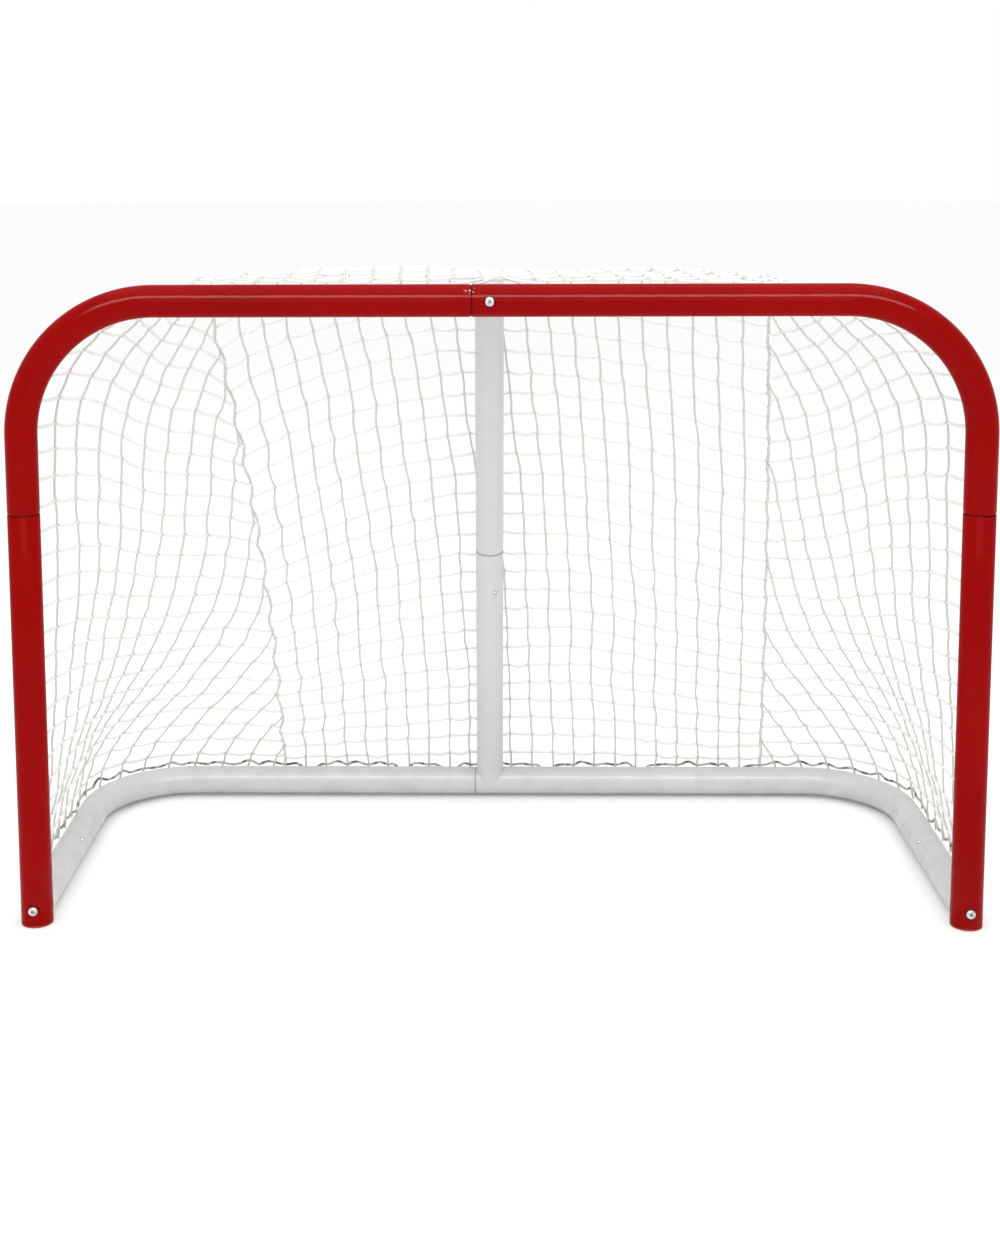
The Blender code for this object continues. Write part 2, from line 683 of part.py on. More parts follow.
def make_net():
    """Roof, back and two sides, each a net panel of its own."""
    left_foot = seam_line(-1, 0)
    right_foot = seam_line(1, 0)
    bar_y, bar_z = FRONT_Y + NET_OFF, BAR_Z

    def back(u, v):
        point = coons(
            lambda s: left_foot.lerp(right_foot, s),
            roof_rear,
            lambda s: seam_line(-1, s),
            lambda s: seam_line(1, s),
            u,
            v,
        )
        point.y += NET_BACK_BULGE * math.sin(math.pi * u) * math.sin(math.pi * v)
        point.x += PANEL_GAP * (1 - 2 * u)
        point.z -= PANEL_GAP * v
        return point

    def roof(u, v):
        start = Vector((-NET_CROSSBAR_START + 2 * NET_CROSSBAR_START * u, bar_y, bar_z))
        point = start.lerp(roof_rear(u), v)
        over_neck = max(0, 1 - abs(u - 0.5) * BACK_COLUMNS) * max(0, 1 - v * ROOF_ROWS)
        point.z += NET_OVER_NECK * over_neck
        rows_in = min(v, 1 - v) * ROOF_ROWS
        point.z += NET_LIFT * min(rows_in, 1) * (1 - abs(2 * u - 1) ** 4)
        point.x += PANEL_GAP * (1 - 2 * u)
        point.z += PANEL_GAP * v
        return point

    net_panel("back_net", back, BACK_COLUMNS, BACK_ROWS)
    net_panel("roof_net", roof, BACK_COLUMNS, ROOF_ROWS)
    for side in (-1, 1):
        net_panel(
            f"{side_name(side)}_side_net",
            side_surface(side),
            SIDE_COLUMNS,
            SIDE_ROWS,
            ("low", "near"),
        )


def side_surface(side):
    """The surface of a side net, from the post to the seam with the back."""
    bar_end = (NET_CROSSBAR_START + 2 * PANEL_GAP) * side
    foot_x = NET_LEFT_FOOT_X if side < 0 else NET_RIGHT_FOOT_X
    front, base = front_edge(side, bar_end), base_edge(side, foot_x)

    def surface(u, v):
        point = along_line(front, v).lerp(seam_line(side, v), u)
        rounding = along_line(base, u) - base[0].lerp(base[-1], u)
        point += rounding * math.exp(-((v / NET_ROUND_FADE_SHARE) ** 2))
        bulge = NET_SIDE_BULGE * math.sin(math.pi * u) * math.sin(math.pi * v)
        point.x += (bulge + PANEL_GAP * u**4) * side
        return point

    return surface


def make_clip(name, point, run, out):
    """A clip behind a tube: a plastic hook round the net's edge, 12 mm long."""
    inner = STRAND_REACH + FIT_GAP
    wall = CLIP_WALL
    mid = NET_OFF
    base = CLIP_FLOOR
    outline = [
        (-inner - wall, base),
        (inner + wall, base),
        (inner + wall, mid - CLIP_MOUTH / 2),
        (inner, mid - CLIP_MOUTH / 2),
        (inner, mid - inner),
        (-inner, mid - inner),
        (-inner, mid + inner),
        (inner, mid + inner),
        (inner, mid + CLIP_MOUTH / 2),
        (inner + wall, mid + CLIP_MOUTH / 2),
        (inner + wall, mid + inner + wall),
        (-inner - wall, mid + inner + wall),
    ]
    across = run.cross(out)
    rings = []
    for end in (-CLIP_LENGTH / 2, CLIP_LENGTH / 2):
        rings.append([point + run * end + across * x + out * y for x, y in outline])
    add_object(name, skin_rings(rings), CLIP_PLASTIC, smooth=False)


def edge_clip(name, edge, gap, gaps, out, facing=1):
    """A clip on the middle piece of one gap of a bent edge."""
    low, high = gap / gaps, (gap + 1) / gaps
    pieces = edge_pieces((along_line(edge, high) - along_line(edge, low)).length)
    middle, half = (low + high) / 2, (high - low) / (2 * pieces)
    behind, ahead = along_line(edge, middle - half), along_line(edge, middle + half)
    run = (ahead - behind).normalized() * facing
    make_clip(name, behind.lerp(ahead, 0.5) - out * NET_OFF, run, out)


def make_clips():
    """Clips on posts, crossbar and base, each between two strands. Those of the base open down."""
    for side in (-1, 1):
        edge = front_edge(side, (NET_CROSSBAR_START + 2 * PANEL_GAP) * side)
        for i, row in enumerate(POST_CLIP_ROWS):
            edge_clip(f"{side_name(side)}_post_clip_{i + 1}", edge, row, SIDE_ROWS, Y)
        edge = base_edge(side, NET_LEFT_FOOT_X if side < 0 else NET_RIGHT_FOOT_X)
        out = X * (side * math.cos(NET_EDGE_HEIGHT)) + Z * math.sin(NET_EDGE_HEIGHT)
        for i, column in enumerate(SIDE_CLIP_COLUMNS):
            edge_clip(f"{side_name(side)}_base_clip_{i + 1}", edge, column, SIDE_COLUMNS, out, side)
    for i, column in enumerate(CROSSBAR_CLIP_COLUMNS):
        x = NET_CROSSBAR_START * (2 * (column + 0.5) / BACK_COLUMNS - 1)
        make_clip(f"crossbar_clip_{i + 1}", Vector((x, FRONT_Y, BAR_Z)), X, Y)
    out = Y * math.cos(NET_EDGE_HEIGHT) + Z * math.sin(NET_EDGE_HEIGHT)
    for i, column in enumerate(REAR_CLIP_COLUMNS):
        share = (column + 0.5) / BACK_COLUMNS
        x = NET_LEFT_FOOT_X + (NET_RIGHT_FOOT_X - NET_LEFT_FOOT_X) * share
        make_clip(f"rear_clip_{i + 1}", Vector((x, REAR_Y, BASE_Z)), -X, out)


def main():
    clear_scene()
    for side in (-1, 1):
        make_top_bend(side)
        make_post(side)
        make_foot_cap(side)
        make_base_front(side)
        make_base_bend(side)
        make_button(f"{side_name(side)}_post", post_button(side))
        make_button(f"{side_name(side)}_base", base_button(side))
    make_support()
    make_button("support", support_button())
    make_bolted_joints()
    make_net()
    make_clips()


main()
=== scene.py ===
"""The looks of a street hockey goal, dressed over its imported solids.

Tubes, bolts, buttons, clips and foot caps are made finer than the solids, and the net gets its
real mesh, knots and edge cords. Everything is in metres, +Z up, in the frame of the solids.
"""

import math
import random

import bmesh
import bpy
from bpy.props import FloatProperty, FloatVectorProperty, IntProperty, PointerProperty
from mathutils import Matrix, Vector, noise


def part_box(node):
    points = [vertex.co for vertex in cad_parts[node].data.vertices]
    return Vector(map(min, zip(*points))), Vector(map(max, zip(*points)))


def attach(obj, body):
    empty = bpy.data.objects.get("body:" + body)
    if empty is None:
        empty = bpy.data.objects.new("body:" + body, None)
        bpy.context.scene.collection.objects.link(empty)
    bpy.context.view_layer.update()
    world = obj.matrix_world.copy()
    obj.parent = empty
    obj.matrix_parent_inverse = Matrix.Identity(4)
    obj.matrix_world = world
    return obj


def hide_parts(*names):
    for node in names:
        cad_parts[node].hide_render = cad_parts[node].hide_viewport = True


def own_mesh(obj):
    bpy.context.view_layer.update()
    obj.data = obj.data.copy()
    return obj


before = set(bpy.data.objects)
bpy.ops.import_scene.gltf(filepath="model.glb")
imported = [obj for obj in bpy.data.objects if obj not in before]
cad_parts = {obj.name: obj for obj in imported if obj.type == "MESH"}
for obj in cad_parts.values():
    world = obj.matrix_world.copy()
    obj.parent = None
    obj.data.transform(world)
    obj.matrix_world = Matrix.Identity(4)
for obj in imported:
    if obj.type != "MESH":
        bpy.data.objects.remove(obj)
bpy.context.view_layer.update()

bl_info = {
    "name": "Street hockey goal",
    "version": (1, 0, 0),
    "blender": (4, 5, 0),
    "location": "3D View > Sidebar > Hockey goal",
    "description": "Dresses the packed hockey goal and sets up its studio",
    "category": "Object",
}


# Places read from the solids


def middle(node):
    low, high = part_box(node)
    return (low + high) / 2


X, Y, Z = Vector((1, 0, 0)), Vector((0, 1, 0)), Vector((0, 0, 1))
SIDES = {-1: "left", 1: "right"}
POST_LOW, POST_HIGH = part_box("right_lower_post")
TUBE_RADIUS = (POST_HIGH.x - POST_LOW.x) / 2
POST_X = middle("right_lower_post").x
FRONT_Y = middle("right_lower_post").y
POST_SEAM_Z = POST_HIGH.z
POST_FOOT_Z = POST_LOW.z
SUPPORT_X = middle("crossbar_bolt").x
BAR_Z = middle("crossbar_bolt").z
BASE_Z = middle("left_foot_bolt").z
REAR_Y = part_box("right_base_bend")[1].y - TUBE_RADIUS
BASE_SEAM_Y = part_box("right_base_front_tube")[1].y
SEAM_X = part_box("right_top_bend")[0].x
TOP_Z = BAR_Z + TUBE_RADIUS

# Shapes that a box doesn't tell
WALL = 0.0015
FIT_GAP = 0.0003
SADDLE_GAP = 0.0005
SLIP_LENGTH = 0.150
SLIP_TAPER = 0.004
SHOULDER_LENGTH = 0.0008
SHOULDER_CHAMFER = 0.0003
CORNER_RADIUS = 0.250
BASE_CORNER_RADIUS = 0.200
NECK_CORNER_RADIUS = 0.120
NECK_REACH = 0.430
SUPPORT_SEAM_Z = 0.600
BORE_RADIUS = TUBE_RADIUS - WALL
SLIP_RADIUS = BORE_RADIUS - FIT_GAP
SLIP_BORE = SLIP_RADIUS - WALL
TUBE_SIDES = 72
SHARP_DEGREES = 35
# An end's round: how far from the end, and how much smaller the tube is there
END_ROLL = ((0.0, 0.0007), (0.0003, 0.0003), (0.0011, 0.0))

# Bolts, with heights from the underside of the head
BOLT_RADIUS = 0.0040
BOLT_END = -0.0866
THREAD_START = -0.0850
THREAD_TURNS = 22
THREAD_PITCH = 0.0011
THREAD_TURN = ((BOLT_RADIUS, 0), (BOLT_RADIUS, 0.00025), (0.0036, 0.00055), (BOLT_RADIUS, 0.0009))
HEAD_RADIUS = 0.0090
HEAD_HEIGHT = 0.0045
LOW_HEAD_HEIGHT = 0.0020
SOCKET_REACH = 0.0034
SOCKET_MOUTH = 0.0037
SOCKET_DEPTH = 0.0024
LOW_SOCKET_DEPTH = 0.0012

# Buttons and their springs, with heights from the tube's axis
BUTTON_FROM_SEAM = 0.090
BASE_BUTTON_FROM_SEAM = 0.120
POST_BUTTON_TURN = math.radians(45)
BASE_BUTTON_TURN = math.radians(50)
SUPPORT_BUTTON_TURN = math.radians(24)
BUTTON_FOOT = 0.02454
BUTTON_RISE = 0.0035
BUTTON_RADIUS = 0.0042
BUTTON_FLANGE_RADIUS = 0.0056
BUTTON_HOLE_RADIUS = 0.0045
SPRING_TOP = 0.02424
SPRING_FOOT = -0.02556
SPRING_HALF_THICKNESS = 0.0004
SPRING_EDGES = (-0.0055, -0.0054, 0.0054, 0.0055)
SPRING_APEX = 0.049
SPRING_BEND_RADIUS = 0.0030

NECK_Y = FRONT_Y + NECK_REACH
SLOPE = Vector((0, REAR_Y - NECK_Y, BASE_Z - BAR_Z)).normalized()
SLOPE_TURN = math.acos(SLOPE.y)
SUPPORT_FOOT = Vector((SUPPORT_X, REAR_Y, BASE_Z))
SUPPORT_SEAM = SUPPORT_FOOT + SLOPE * ((SUPPORT_SEAM_Z - BASE_Z) / SLOPE.z)

# The net's outline, whose edge lies NET_OFF from the axes of the tubes
NET_OFF = 0.03395
NET_EDGE_HEIGHT = math.radians(28)
NET_EDGE_OUT = NET_OFF * math.cos(NET_EDGE_HEIGHT)
NET_EDGE_Z = BASE_Z + NET_OFF * math.sin(NET_EDGE_HEIGHT)
NET_TOP_X = {-1: -0.600, 1: 0.545}
NET_FOOT_X = {-1: -0.490, 1: 0.603}
NET_CORNER_REACH = 0.360
NET_CORNER_DROP = 0.012
NET_ROOF_REACH = 0.470
NET_ROOF_DROP = 0.034
NET_ROOF_Z = TOP_Z + 0.0021
NET_CROSSBAR_START = 0.620
NET_OVER_NECK = 0.042
NET_LIFT = 0.0352
NET_FOOT_RISE = 0.200
NET_SIDE_BULGE = 0.020
NET_BACK_BULGE = 0.016
NET_ROUND_FADE_SHARE = 0.28
NET_SEAM_BOW = {-1: 0.024, 1: 0.010}
NET_SEAM_KINK = {-1: 0.0065, 1: 0.0022}
NET_SEAM_KINKS = 12.4
NET_SEAM_DIP = 0.045
PANEL_GAP = 0.0015

# How the net is tied: the first cell behind a post, in cells, and where the neck carries it
NET_FIRST_CELL = 0.7
NECK_HALF_WIDTH = 0.075
NECK_REAR_Y = NECK_Y + 0.05
NECK_BOTTOM_Z = 1.1
# How far above a clip the foot's cord lies where it has swelled to the full
FULL_SPREAD_LIFT = 0.006

# Clips
CLIP_HALF_LENGTH = 0.006
CLIP_GRIP = 0.007
CLIP_BORE = 0.0021
CLIP_WALL = 0.0014
CLIP_HALF_MOUTH = 0.0012


# Meshes


def placed(name, data):
    """A new object in the scene."""
    made = bpy.data.objects.new(name, data)
    bpy.context.scene.collection.objects.link(made)
    return made


def plain_mesh(piece):
    """The mesh that a piece's modifiers make, which are then removed."""
    bpy.context.view_layer.update()
    evaluated = piece.evaluated_get(bpy.context.evaluated_depsgraph_get())
    mesh = bpy.data.meshes.new_from_object(evaluated)
    piece.modifiers.clear()
    return mesh


def object_of(name, form, material, sharp=SHARP_DEGREES):
    """An object of a bmesh, its faces turned outwards and its material set."""
    bmesh.ops.remove_doubles(form, verts=form.verts, dist=1e-7)
    bmesh.ops.recalc_face_normals(form, faces=form.faces)
    mesh = bpy.data.meshes.new(name)
    form.to_mesh(mesh)
    form.free()
    mesh.shade_smooth()
    mesh.set_sharp_from_angle(angle=math.radians(sharp))
    mesh.materials.append(material)
    return placed(name, mesh)


def seat(piece, body, slot, *nodes):
    """Lets a piece ride on its body and stand for its solids, if it has any; its slot is not used."""
    if not piece.data.polygons:
        raise RuntimeError(f"{piece.name} has no faces")
    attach(piece, body)
    if nodes:
        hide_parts(*nodes)


def angles_round(sides):
    return [2 * math.pi * i / sides for i in range(sides)]


def skin_rings(rings, closed=False):
    """A closed body through rings of points; an open row of rings gets a cap at each end."""
    form = bmesh.new()
    made = [[form.verts.new(point) for point in ring] for ring in rings]
    pairs = list(zip(made, made[1:]))
    if closed:
        pairs.append((made[-1], made[0]))
    for near, far in pairs:
        count = len(near)
        for i in range(count):
            form.faces.new((near[i], near[(i + 1) % count], far[(i + 1) % count], far[i]))
    if not closed:
        form.faces.new(made[0])
        form.faces.new(made[-1])
    return form


def frame_on(origin, up, side):
    """The placing of a piece that is modelled along +Z at the origin, with side as its +X."""
    up = up.normalized()
    side = (side - up * side.dot(up)).normalized()
    return Matrix.Translation(origin) @ Matrix((side, up.cross(side), up)).transposed().to_4x4()


def hexagon(angle, reach):
    """How far the wall of a six-sided socket is from its axis in a direction."""
    return reach * math.cos(math.pi / 6) / math.cos((angle % (math.pi / 3)) - math.pi / 6)


def turned(name, profile, material, place, sides=64, sharp=SHARP_DEGREES):
    """A turned piece; a negative radius in the profile is a six-sided socket's reach."""
    form = bmesh.new()
    rows = []
    for radius, height in profile:
        if radius == 0:
            rows.append([form.verts.new(place @ Vector((0, 0, height)))])
            continue
        row = []
        for angle in angles_round(sides):
            r = radius if radius > 0 else hexagon(angle, -radius)
            spot = Vector((r * math.cos(angle), r * math.sin(angle), height))
            row.append(form.verts.new(place @ spot))
        rows.append(row)
    pairs = list(zip(rows, rows[1:]))
    if profile[0][0] != 0:
        pairs.append((rows[-1], rows[0]))
    for low, high in pairs:
        for i in range(sides):
            j = (i + 1) % sides
            corners = [low[i % len(low)], low[j % len(low)], high[j % len(high)], high[i % len(high)]]
            form.faces.new(list(dict.fromkeys(corners)))
    return object_of(name, form, material, sharp)


def drill(target, centre, direction, radius, length):
    """Cuts a round hole into a piece and leaves it a plain mesh."""
    form = bmesh.new()
    bmesh.ops.create_cone(
        form,
        cap_ends=True,
        segments=48,
        radius1=radius,
        radius2=radius,
        depth=length,
        matrix=direction.to_track_quat("Z", "Y").to_matrix().to_4x4(),
    )
    bmesh.ops.translate(form, verts=form.verts, vec=centre)
    cutter = object_of("cutter", form, target.data.materials[0])
    cut = target.modifiers.new("hole", "BOOLEAN")
    cut.operation = "DIFFERENCE"
    cut.solver = "EXACT"
    cut.object = cutter
    target.data = plain_mesh(target)
    bpy.data.objects.remove(cutter)
    target.data.set_sharp_from_angle(angle=math.radians(SHARP_DEGREES))


class TubeRun:
    """A tube's centre line in one plane, laid down from one end, with its radii on the way."""

    def __init__(self, start, heading, side, outer=TUBE_RADIUS, inner=BORE_RADIUS):
        self.side = side
        self.stations = [(start.copy(), heading.copy(), outer, inner)]

    def straight(self, length, outer=None, inner=None):
        point, heading, last_outer, last_inner = self.stations[-1]
        self.stations.append(
            (point + heading * length, heading, outer or last_outer, inner or last_inner)
        )

    def bend(self, radius, angle, steps=32):
        point, heading, outer, inner = self.stations[-1]
        centre = point + self.side.cross(heading) * radius * math.copysign(1, angle)
        for i in range(1, steps + 1):
            turn = Matrix.Rotation(angle * i / steps, 3, self.side)
            place = centre + turn @ (point - centre)
            self.stations.append((place, turn @ heading, outer, inner))

    def slip_end(self, distance):
        """Runs on to a shoulder just short of a distance, and into the next tube's bore."""
        self.straight(distance - FIT_GAP - SLIP_TAPER - SHOULDER_LENGTH)
        self.straight(SHOULDER_LENGTH, TUBE_RADIUS - SHOULDER_CHAMFER)
        self.straight(SLIP_TAPER, SLIP_RADIUS, SLIP_BORE)
        self.straight(SLIP_LENGTH)

    def roll_start(self):
        """Rounds the outer edge of the first end."""
        point, heading, outer, inner = self.stations[0]
        self.stations[:1] = [(point + heading * d, heading, outer - c, inner) for d, c in END_ROLL]

    def roll_end(self):
        point, heading, outer, inner = self.stations[-1]
        self.stations[-1:] = [
            (point - heading * d, heading, outer - c, inner) for d, c in reversed(END_ROLL)
        ]

    def rings(self, which):
        made = []
        for point, heading, outer, inner in self.stations:
            radius = outer if which == "outer" else inner
            across = heading.cross(self.side)
            ways = [self.side * math.cos(a) + across * math.sin(a) for a in angles_round(TUBE_SIDES)]
            made.append([point + way * radius for way in ways])
        return made

    def saddle(self, ring, heading, on_point, on_axis):
        """Slides a ring's points along heading to the round of the tube at on_point."""
        reach = TUBE_RADIUS + SADDLE_GAP
        for i, point in enumerate(ring):
            across = heading.cross(on_axis).normalized()
            off = (point - on_point).dot(across)
            back = math.sqrt(max(reach**2 - off**2, 0))
            along = (point - on_point).dot(heading)
            ring[i] = point - heading * (along + back)

    def tube(self, name, material, start_on=None, end_on=None):
        """The hollow tube. start_on and end_on are the (point, axis) of a tube that it meets."""
        outer, inner = self.rings("outer"), self.rings("inner")
        if start_on:
            for ring in (outer[0], inner[0]):
                self.saddle(ring, -self.stations[0][1], *start_on)
        if end_on:
            for ring in (outer[-1], inner[-1]):
                self.saddle(ring, self.stations[-1][1], *end_on)
        return object_of(name, skin_rings(outer + inner[::-1], closed=True), material)


# Buttons: where each one is


def button_places():
    """Each sprung button's point on its tube's axis, its way out and the way into the socket."""
    places = {}
    for side, word in SIDES.items():
        point = Vector((POST_X * side, FRONT_Y, POST_SEAM_Z - BUTTON_FROM_SEAM))
        out = Y * math.cos(POST_BUTTON_TURN) + X * side * math.sin(POST_BUTTON_TURN)
        places[f"{word}_post"] = (point, out, -Z)
        point = Vector((POST_X * side, BASE_SEAM_Y - BASE_BUTTON_FROM_SEAM, BASE_Z))
        out = Z * math.cos(BASE_BUTTON_TURN) - X * side * math.sin(BASE_BUTTON_TURN)
        places[f"{word}_base"] = (point, out, -Y)
    out = SLOPE.cross(X) * math.cos(SUPPORT_BUTTON_TURN) + X * math.sin(SUPPORT_BUTTON_TURN)
    places["support"] = (SUPPORT_SEAM + SLOPE * BUTTON_FROM_SEAM, out, SLOPE)
    return places


BUTTONS = button_places()


# Node trees


class NodeMaker:
    """Adds nodes to a tree, their inputs given as values or as the nodes that feed them."""

    def __init__(self, tree):
        self.tree = tree

    def feed(self, socket, value):
        if isinstance(value, bpy.types.Node):
            value = value.outputs[0]
        if isinstance(value, bpy.types.NodeSocket):
            self.tree.links.new(value, socket)
        else:
            socket.default_value = value

    def add(self, kind, inputs=None, **settings):
        node = self.tree.nodes.new(kind)
        for name, value in settings.items():
            setattr(node, name, value)
        for key, value in (inputs or {}).items():
            self.feed(node.inputs[key], value)
        return node

    def math(self, operation, *values):
        return self.add("ShaderNodeMath", dict(enumerate(values)), operation=operation)

    def vector(self, operation, *values):
        return self.add("ShaderNodeVectorMath", dict(enumerate(values)), operation=operation)

    def scaled(self, vector, factor):
        return self.add("ShaderNodeVectorMath", {0: vector, "Scale": factor}, operation="SCALE")

    def attribute(self, name, kind):
        """A named attribute's value, in a geometry tree."""
        return self.add("GeometryNodeInputNamedAttribute", {"Name": name}, data_type=kind)

    def painted(self, name, output="Fac"):
        """A named attribute's value, in a material."""
        return self.add("ShaderNodeAttribute", attribute_name=name).outputs[output]

    def store(self, geometry, name, kind, value, domain="POINT"):
        return self.add(
            "GeometryNodeStoreNamedAttribute",
            {"Geometry": geometry, "Name": name, "Value": value},
            data_type=kind,
            domain=domain,
        )

    def chance(self, low, high, seed, of=None):
        """A random number or vector, for each point or for what "of" counts."""
        first, kind = (0, "FLOAT_VECTOR") if isinstance(low, tuple) else (2, "FLOAT")
        inputs = {first: low, first + 1: high, "Seed": seed}
        if of is not None:
            inputs["ID"] = of
        return self.add("FunctionNodeRandomValue", inputs, data_type=kind).outputs[first // 2]

    def stray(self, size):
        """A smooth field over the places of the points, up to half a unit each way."""
        place = self.add("GeometryNodeInputPosition")
        field = self.add("ShaderNodeTexNoise", {"Vector": place, "Scale": size})
        return self.vector("SUBTRACT", field.outputs["Color"], (0.5, 0.5, 0.5))


def geometry_tree(name, sizes):
    """An empty geometry tree with a geometry in and out, and a named input for each size."""
    tree = bpy.data.node_groups.new(name, "GeometryNodeTree")
    tree.interface.new_socket("Geometry", in_out="INPUT", socket_type="NodeSocketGeometry")
    for label, kind, default in sizes:
        socket = tree.interface.new_socket(label, in_out="INPUT", socket_type=f"NodeSocket{kind}")
        if default is not None:
            socket.default_value = default
    tree.interface.new_socket("Geometry", in_out="OUTPUT", socket_type="NodeSocketGeometry")
    maker = NodeMaker(tree)
    return maker, maker.add("NodeGroupInput").outputs


def close_tree(maker, geometry, material):
    """Ends a tree in Realize Instances and Set Material."""
    whole = maker.add("GeometryNodeRealizeInstances", {"Geometry": geometry})
    smooth = maker.add("GeometryNodeSetShadeSmooth", {"Geometry": whole})
    finished = maker.add("GeometryNodeSetMaterial", {"Geometry": smooth, "Material": material})
    maker.add("NodeGroupOutput", {"Geometry": finished})
    return maker.tree


def swept(maker, curve, radius, sides, scale=1.0):
    """A cord along a curve, with the length along it and the way round it kept for the braid."""
    along = maker.add("GeometryNodeSplineParameter").outputs["Length"]
    marked = maker.store(curve, "along", "FLOAT", along)
    circle = maker.add("GeometryNodeCurvePrimitiveCircle", {"Resolution": sides, "Radius": radius})
    way = maker.vector("NORMALIZE", maker.add("GeometryNodeInputPosition"))
    profile = maker.store(circle, "around", "FLOAT_VECTOR", way)
    return maker.add(
        "GeometryNodeCurveToMesh",
        {"Curve": marked, "Profile Curve": profile, "Scale": scale, "Fill Caps": True},
    )


def net_tree():
    """Strands along the edges of a graph, hanging a little slack, and a knot at each crossing."""
    maker, given = geometry_tree(
        "knotted_net",
        [
            ("Twine Radius", "Float", 0.0015),
            ("Twine Sides", "Int", 6),
            ("Row Thickness", "Float", 1.2),
            ("Points per Strand", "Int", 5),
            ("Sag", "Float", 0.003),
            ("Wave", "Float", 0.003),
            ("Wave Size", "Float", 30.0),
            ("Knot Length", "Float", 0.004),
            ("Seed", "Int", 0),
            ("Material", "Material", None),
        ],
    )
    single = maker.add(
        "GeometryNodeDuplicateElements", {"Geometry": given["Geometry"], "Amount": 1}, domain="EDGE"
    )
    curves = maker.add("GeometryNodeMeshToCurve", {"Mesh": single})
    fine = maker.add(
        "GeometryNodeResampleCurve", {"Curve": curves, "Count": given["Points per Strand"]}
    )
    share = maker.add("GeometryNodeSplineParameter").outputs["Factor"]
    strand = maker.add("GeometryNodeCurveOfPoint").outputs["Curve Index"]
    belly = maker.math("SINE", maker.math("MULTIPLY", share, math.pi))
    loose = maker.math("MULTIPLY", belly, maker.attribute("slack", "FLOAT"))
    hang = maker.math("MULTIPLY", loose, maker.chance(0.25, 1.0, given["Seed"], strand))
    down = maker.scaled((0.0, 0.0, -1.0), maker.math("MULTIPLY", hang, given["Sag"]))
    sway = maker.math("MULTIPLY", loose, given["Wave"])
    sway_seed = maker.math("ADD", given["Seed"], 7)
    way = maker.chance((-1.0, -1.0, -1.0), (1.0, 1.0, 1.0), sway_seed, strand)
    ripple = maker.scaled(way, sway)
    shiver = maker.scaled(maker.stray(given["Wave Size"]), maker.math("MULTIPLY", sway, 1.6))
    offset = maker.vector("ADD", maker.vector("ADD", down, ripple), shiver)
    laid = maker.add("GeometryNodeSetPosition", {"Geometry": fine, "Offset": offset})
    thick = maker.add(
        "ShaderNodeMix",
        {"Factor": maker.attribute("upright", "FLOAT"), "A": given["Row Thickness"], "B": 1.0},
        data_type="FLOAT",
    )
    # How near a strand's end is, so that a row's ends take the columns' painted shade
    from_middle = maker.math("ABSOLUTE", maker.math("MULTIPLY_ADD", share, 2.0, -1.0))
    told = maker.store(laid, "tip", "FLOAT", from_middle)
    strands = swept(maker, told, given["Twine Radius"], given["Twine Sides"], thick)

    tied = maker.math("GREATER_THAN", maker.attribute("knot", "FLOAT"), 0.5)
    spots = maker.add("GeometryNodeMeshToPoints", {"Mesh": given["Geometry"], "Selection": tied})
    knot = maker.add(
        "GeometryNodeMeshUVSphere", {"Segments": 8, "Rings": 5, "Radius": given["Knot Length"]}
    )
    knot = maker.add("GeometryNodeTransform", {"Geometry": knot, "Scale": (1.0, 0.74, 0.62)})
    place = maker.add("GeometryNodeInputPosition")
    rise = maker.add("ShaderNodeSeparateXYZ", {0: place}).outputs["X"]
    knot = maker.store(knot, "around", "FLOAT_VECTOR", maker.vector("NORMALIZE", place))
    knot = maker.store(knot, "along", "FLOAT", rise)
    # Knots take most of the columns' darker colour: painted shade
    knot = maker.store(knot, "upright", "FLOAT", 0.75)
    facing = maker.add(
        "FunctionNodeAlignRotationToVector",
        {"Vector": maker.attribute("facing", "FLOAT_VECTOR")},
        axis="Z",
    )
    spin_seed = maker.math("ADD", given["Seed"], 3)
    spin = maker.chance((-0.35, -0.35, -0.9), (0.35, 0.35, 0.9), spin_seed)
    tilt = maker.add("FunctionNodeEulerToRotation", {0: spin})
    turn = maker.add("FunctionNodeRotateRotation", {0: facing, 1: tilt}, rotation_space="LOCAL")
    size = maker.chance(0.85, 1.15, maker.math("ADD", given["Seed"], 5))
    knots = maker.add(
        "GeometryNodeInstanceOnPoints",
        {"Points": spots, "Instance": knot, "Rotation": turn, "Scale": size},
    )
    both = maker.add("GeometryNodeJoinGeometry", {0: strands})
    maker.feed(both.inputs[0], knots)
    return close_tree(maker, both, given["Material"])


def cord_tree():
    """A cord laid along the lines of a graph, as thick at each point as "thick" says."""
    maker, given = geometry_tree(
        "laid_cord",
        [
            ("Cord Radius", "Float", 0.0018),
            ("Cord Sides", "Int", 8),
            ("Wave", "Float", 0.0004),
            ("Wave Size", "Float", 60.0),
            ("Material", "Material", None),
        ],
    )
    curve = maker.add("GeometryNodeMeshToCurve", {"Mesh": given["Geometry"]})
    stray = maker.scaled(maker.stray(given["Wave Size"]), given["Wave"])
    laid = maker.add("GeometryNodeSetPosition", {"Geometry": curve, "Offset": stray})
    thick = maker.attribute("thick", "FLOAT")
    cord = swept(maker, laid, given["Cord Radius"], given["Cord Sides"], thick)
    return close_tree(maker, cord, given["Material"])


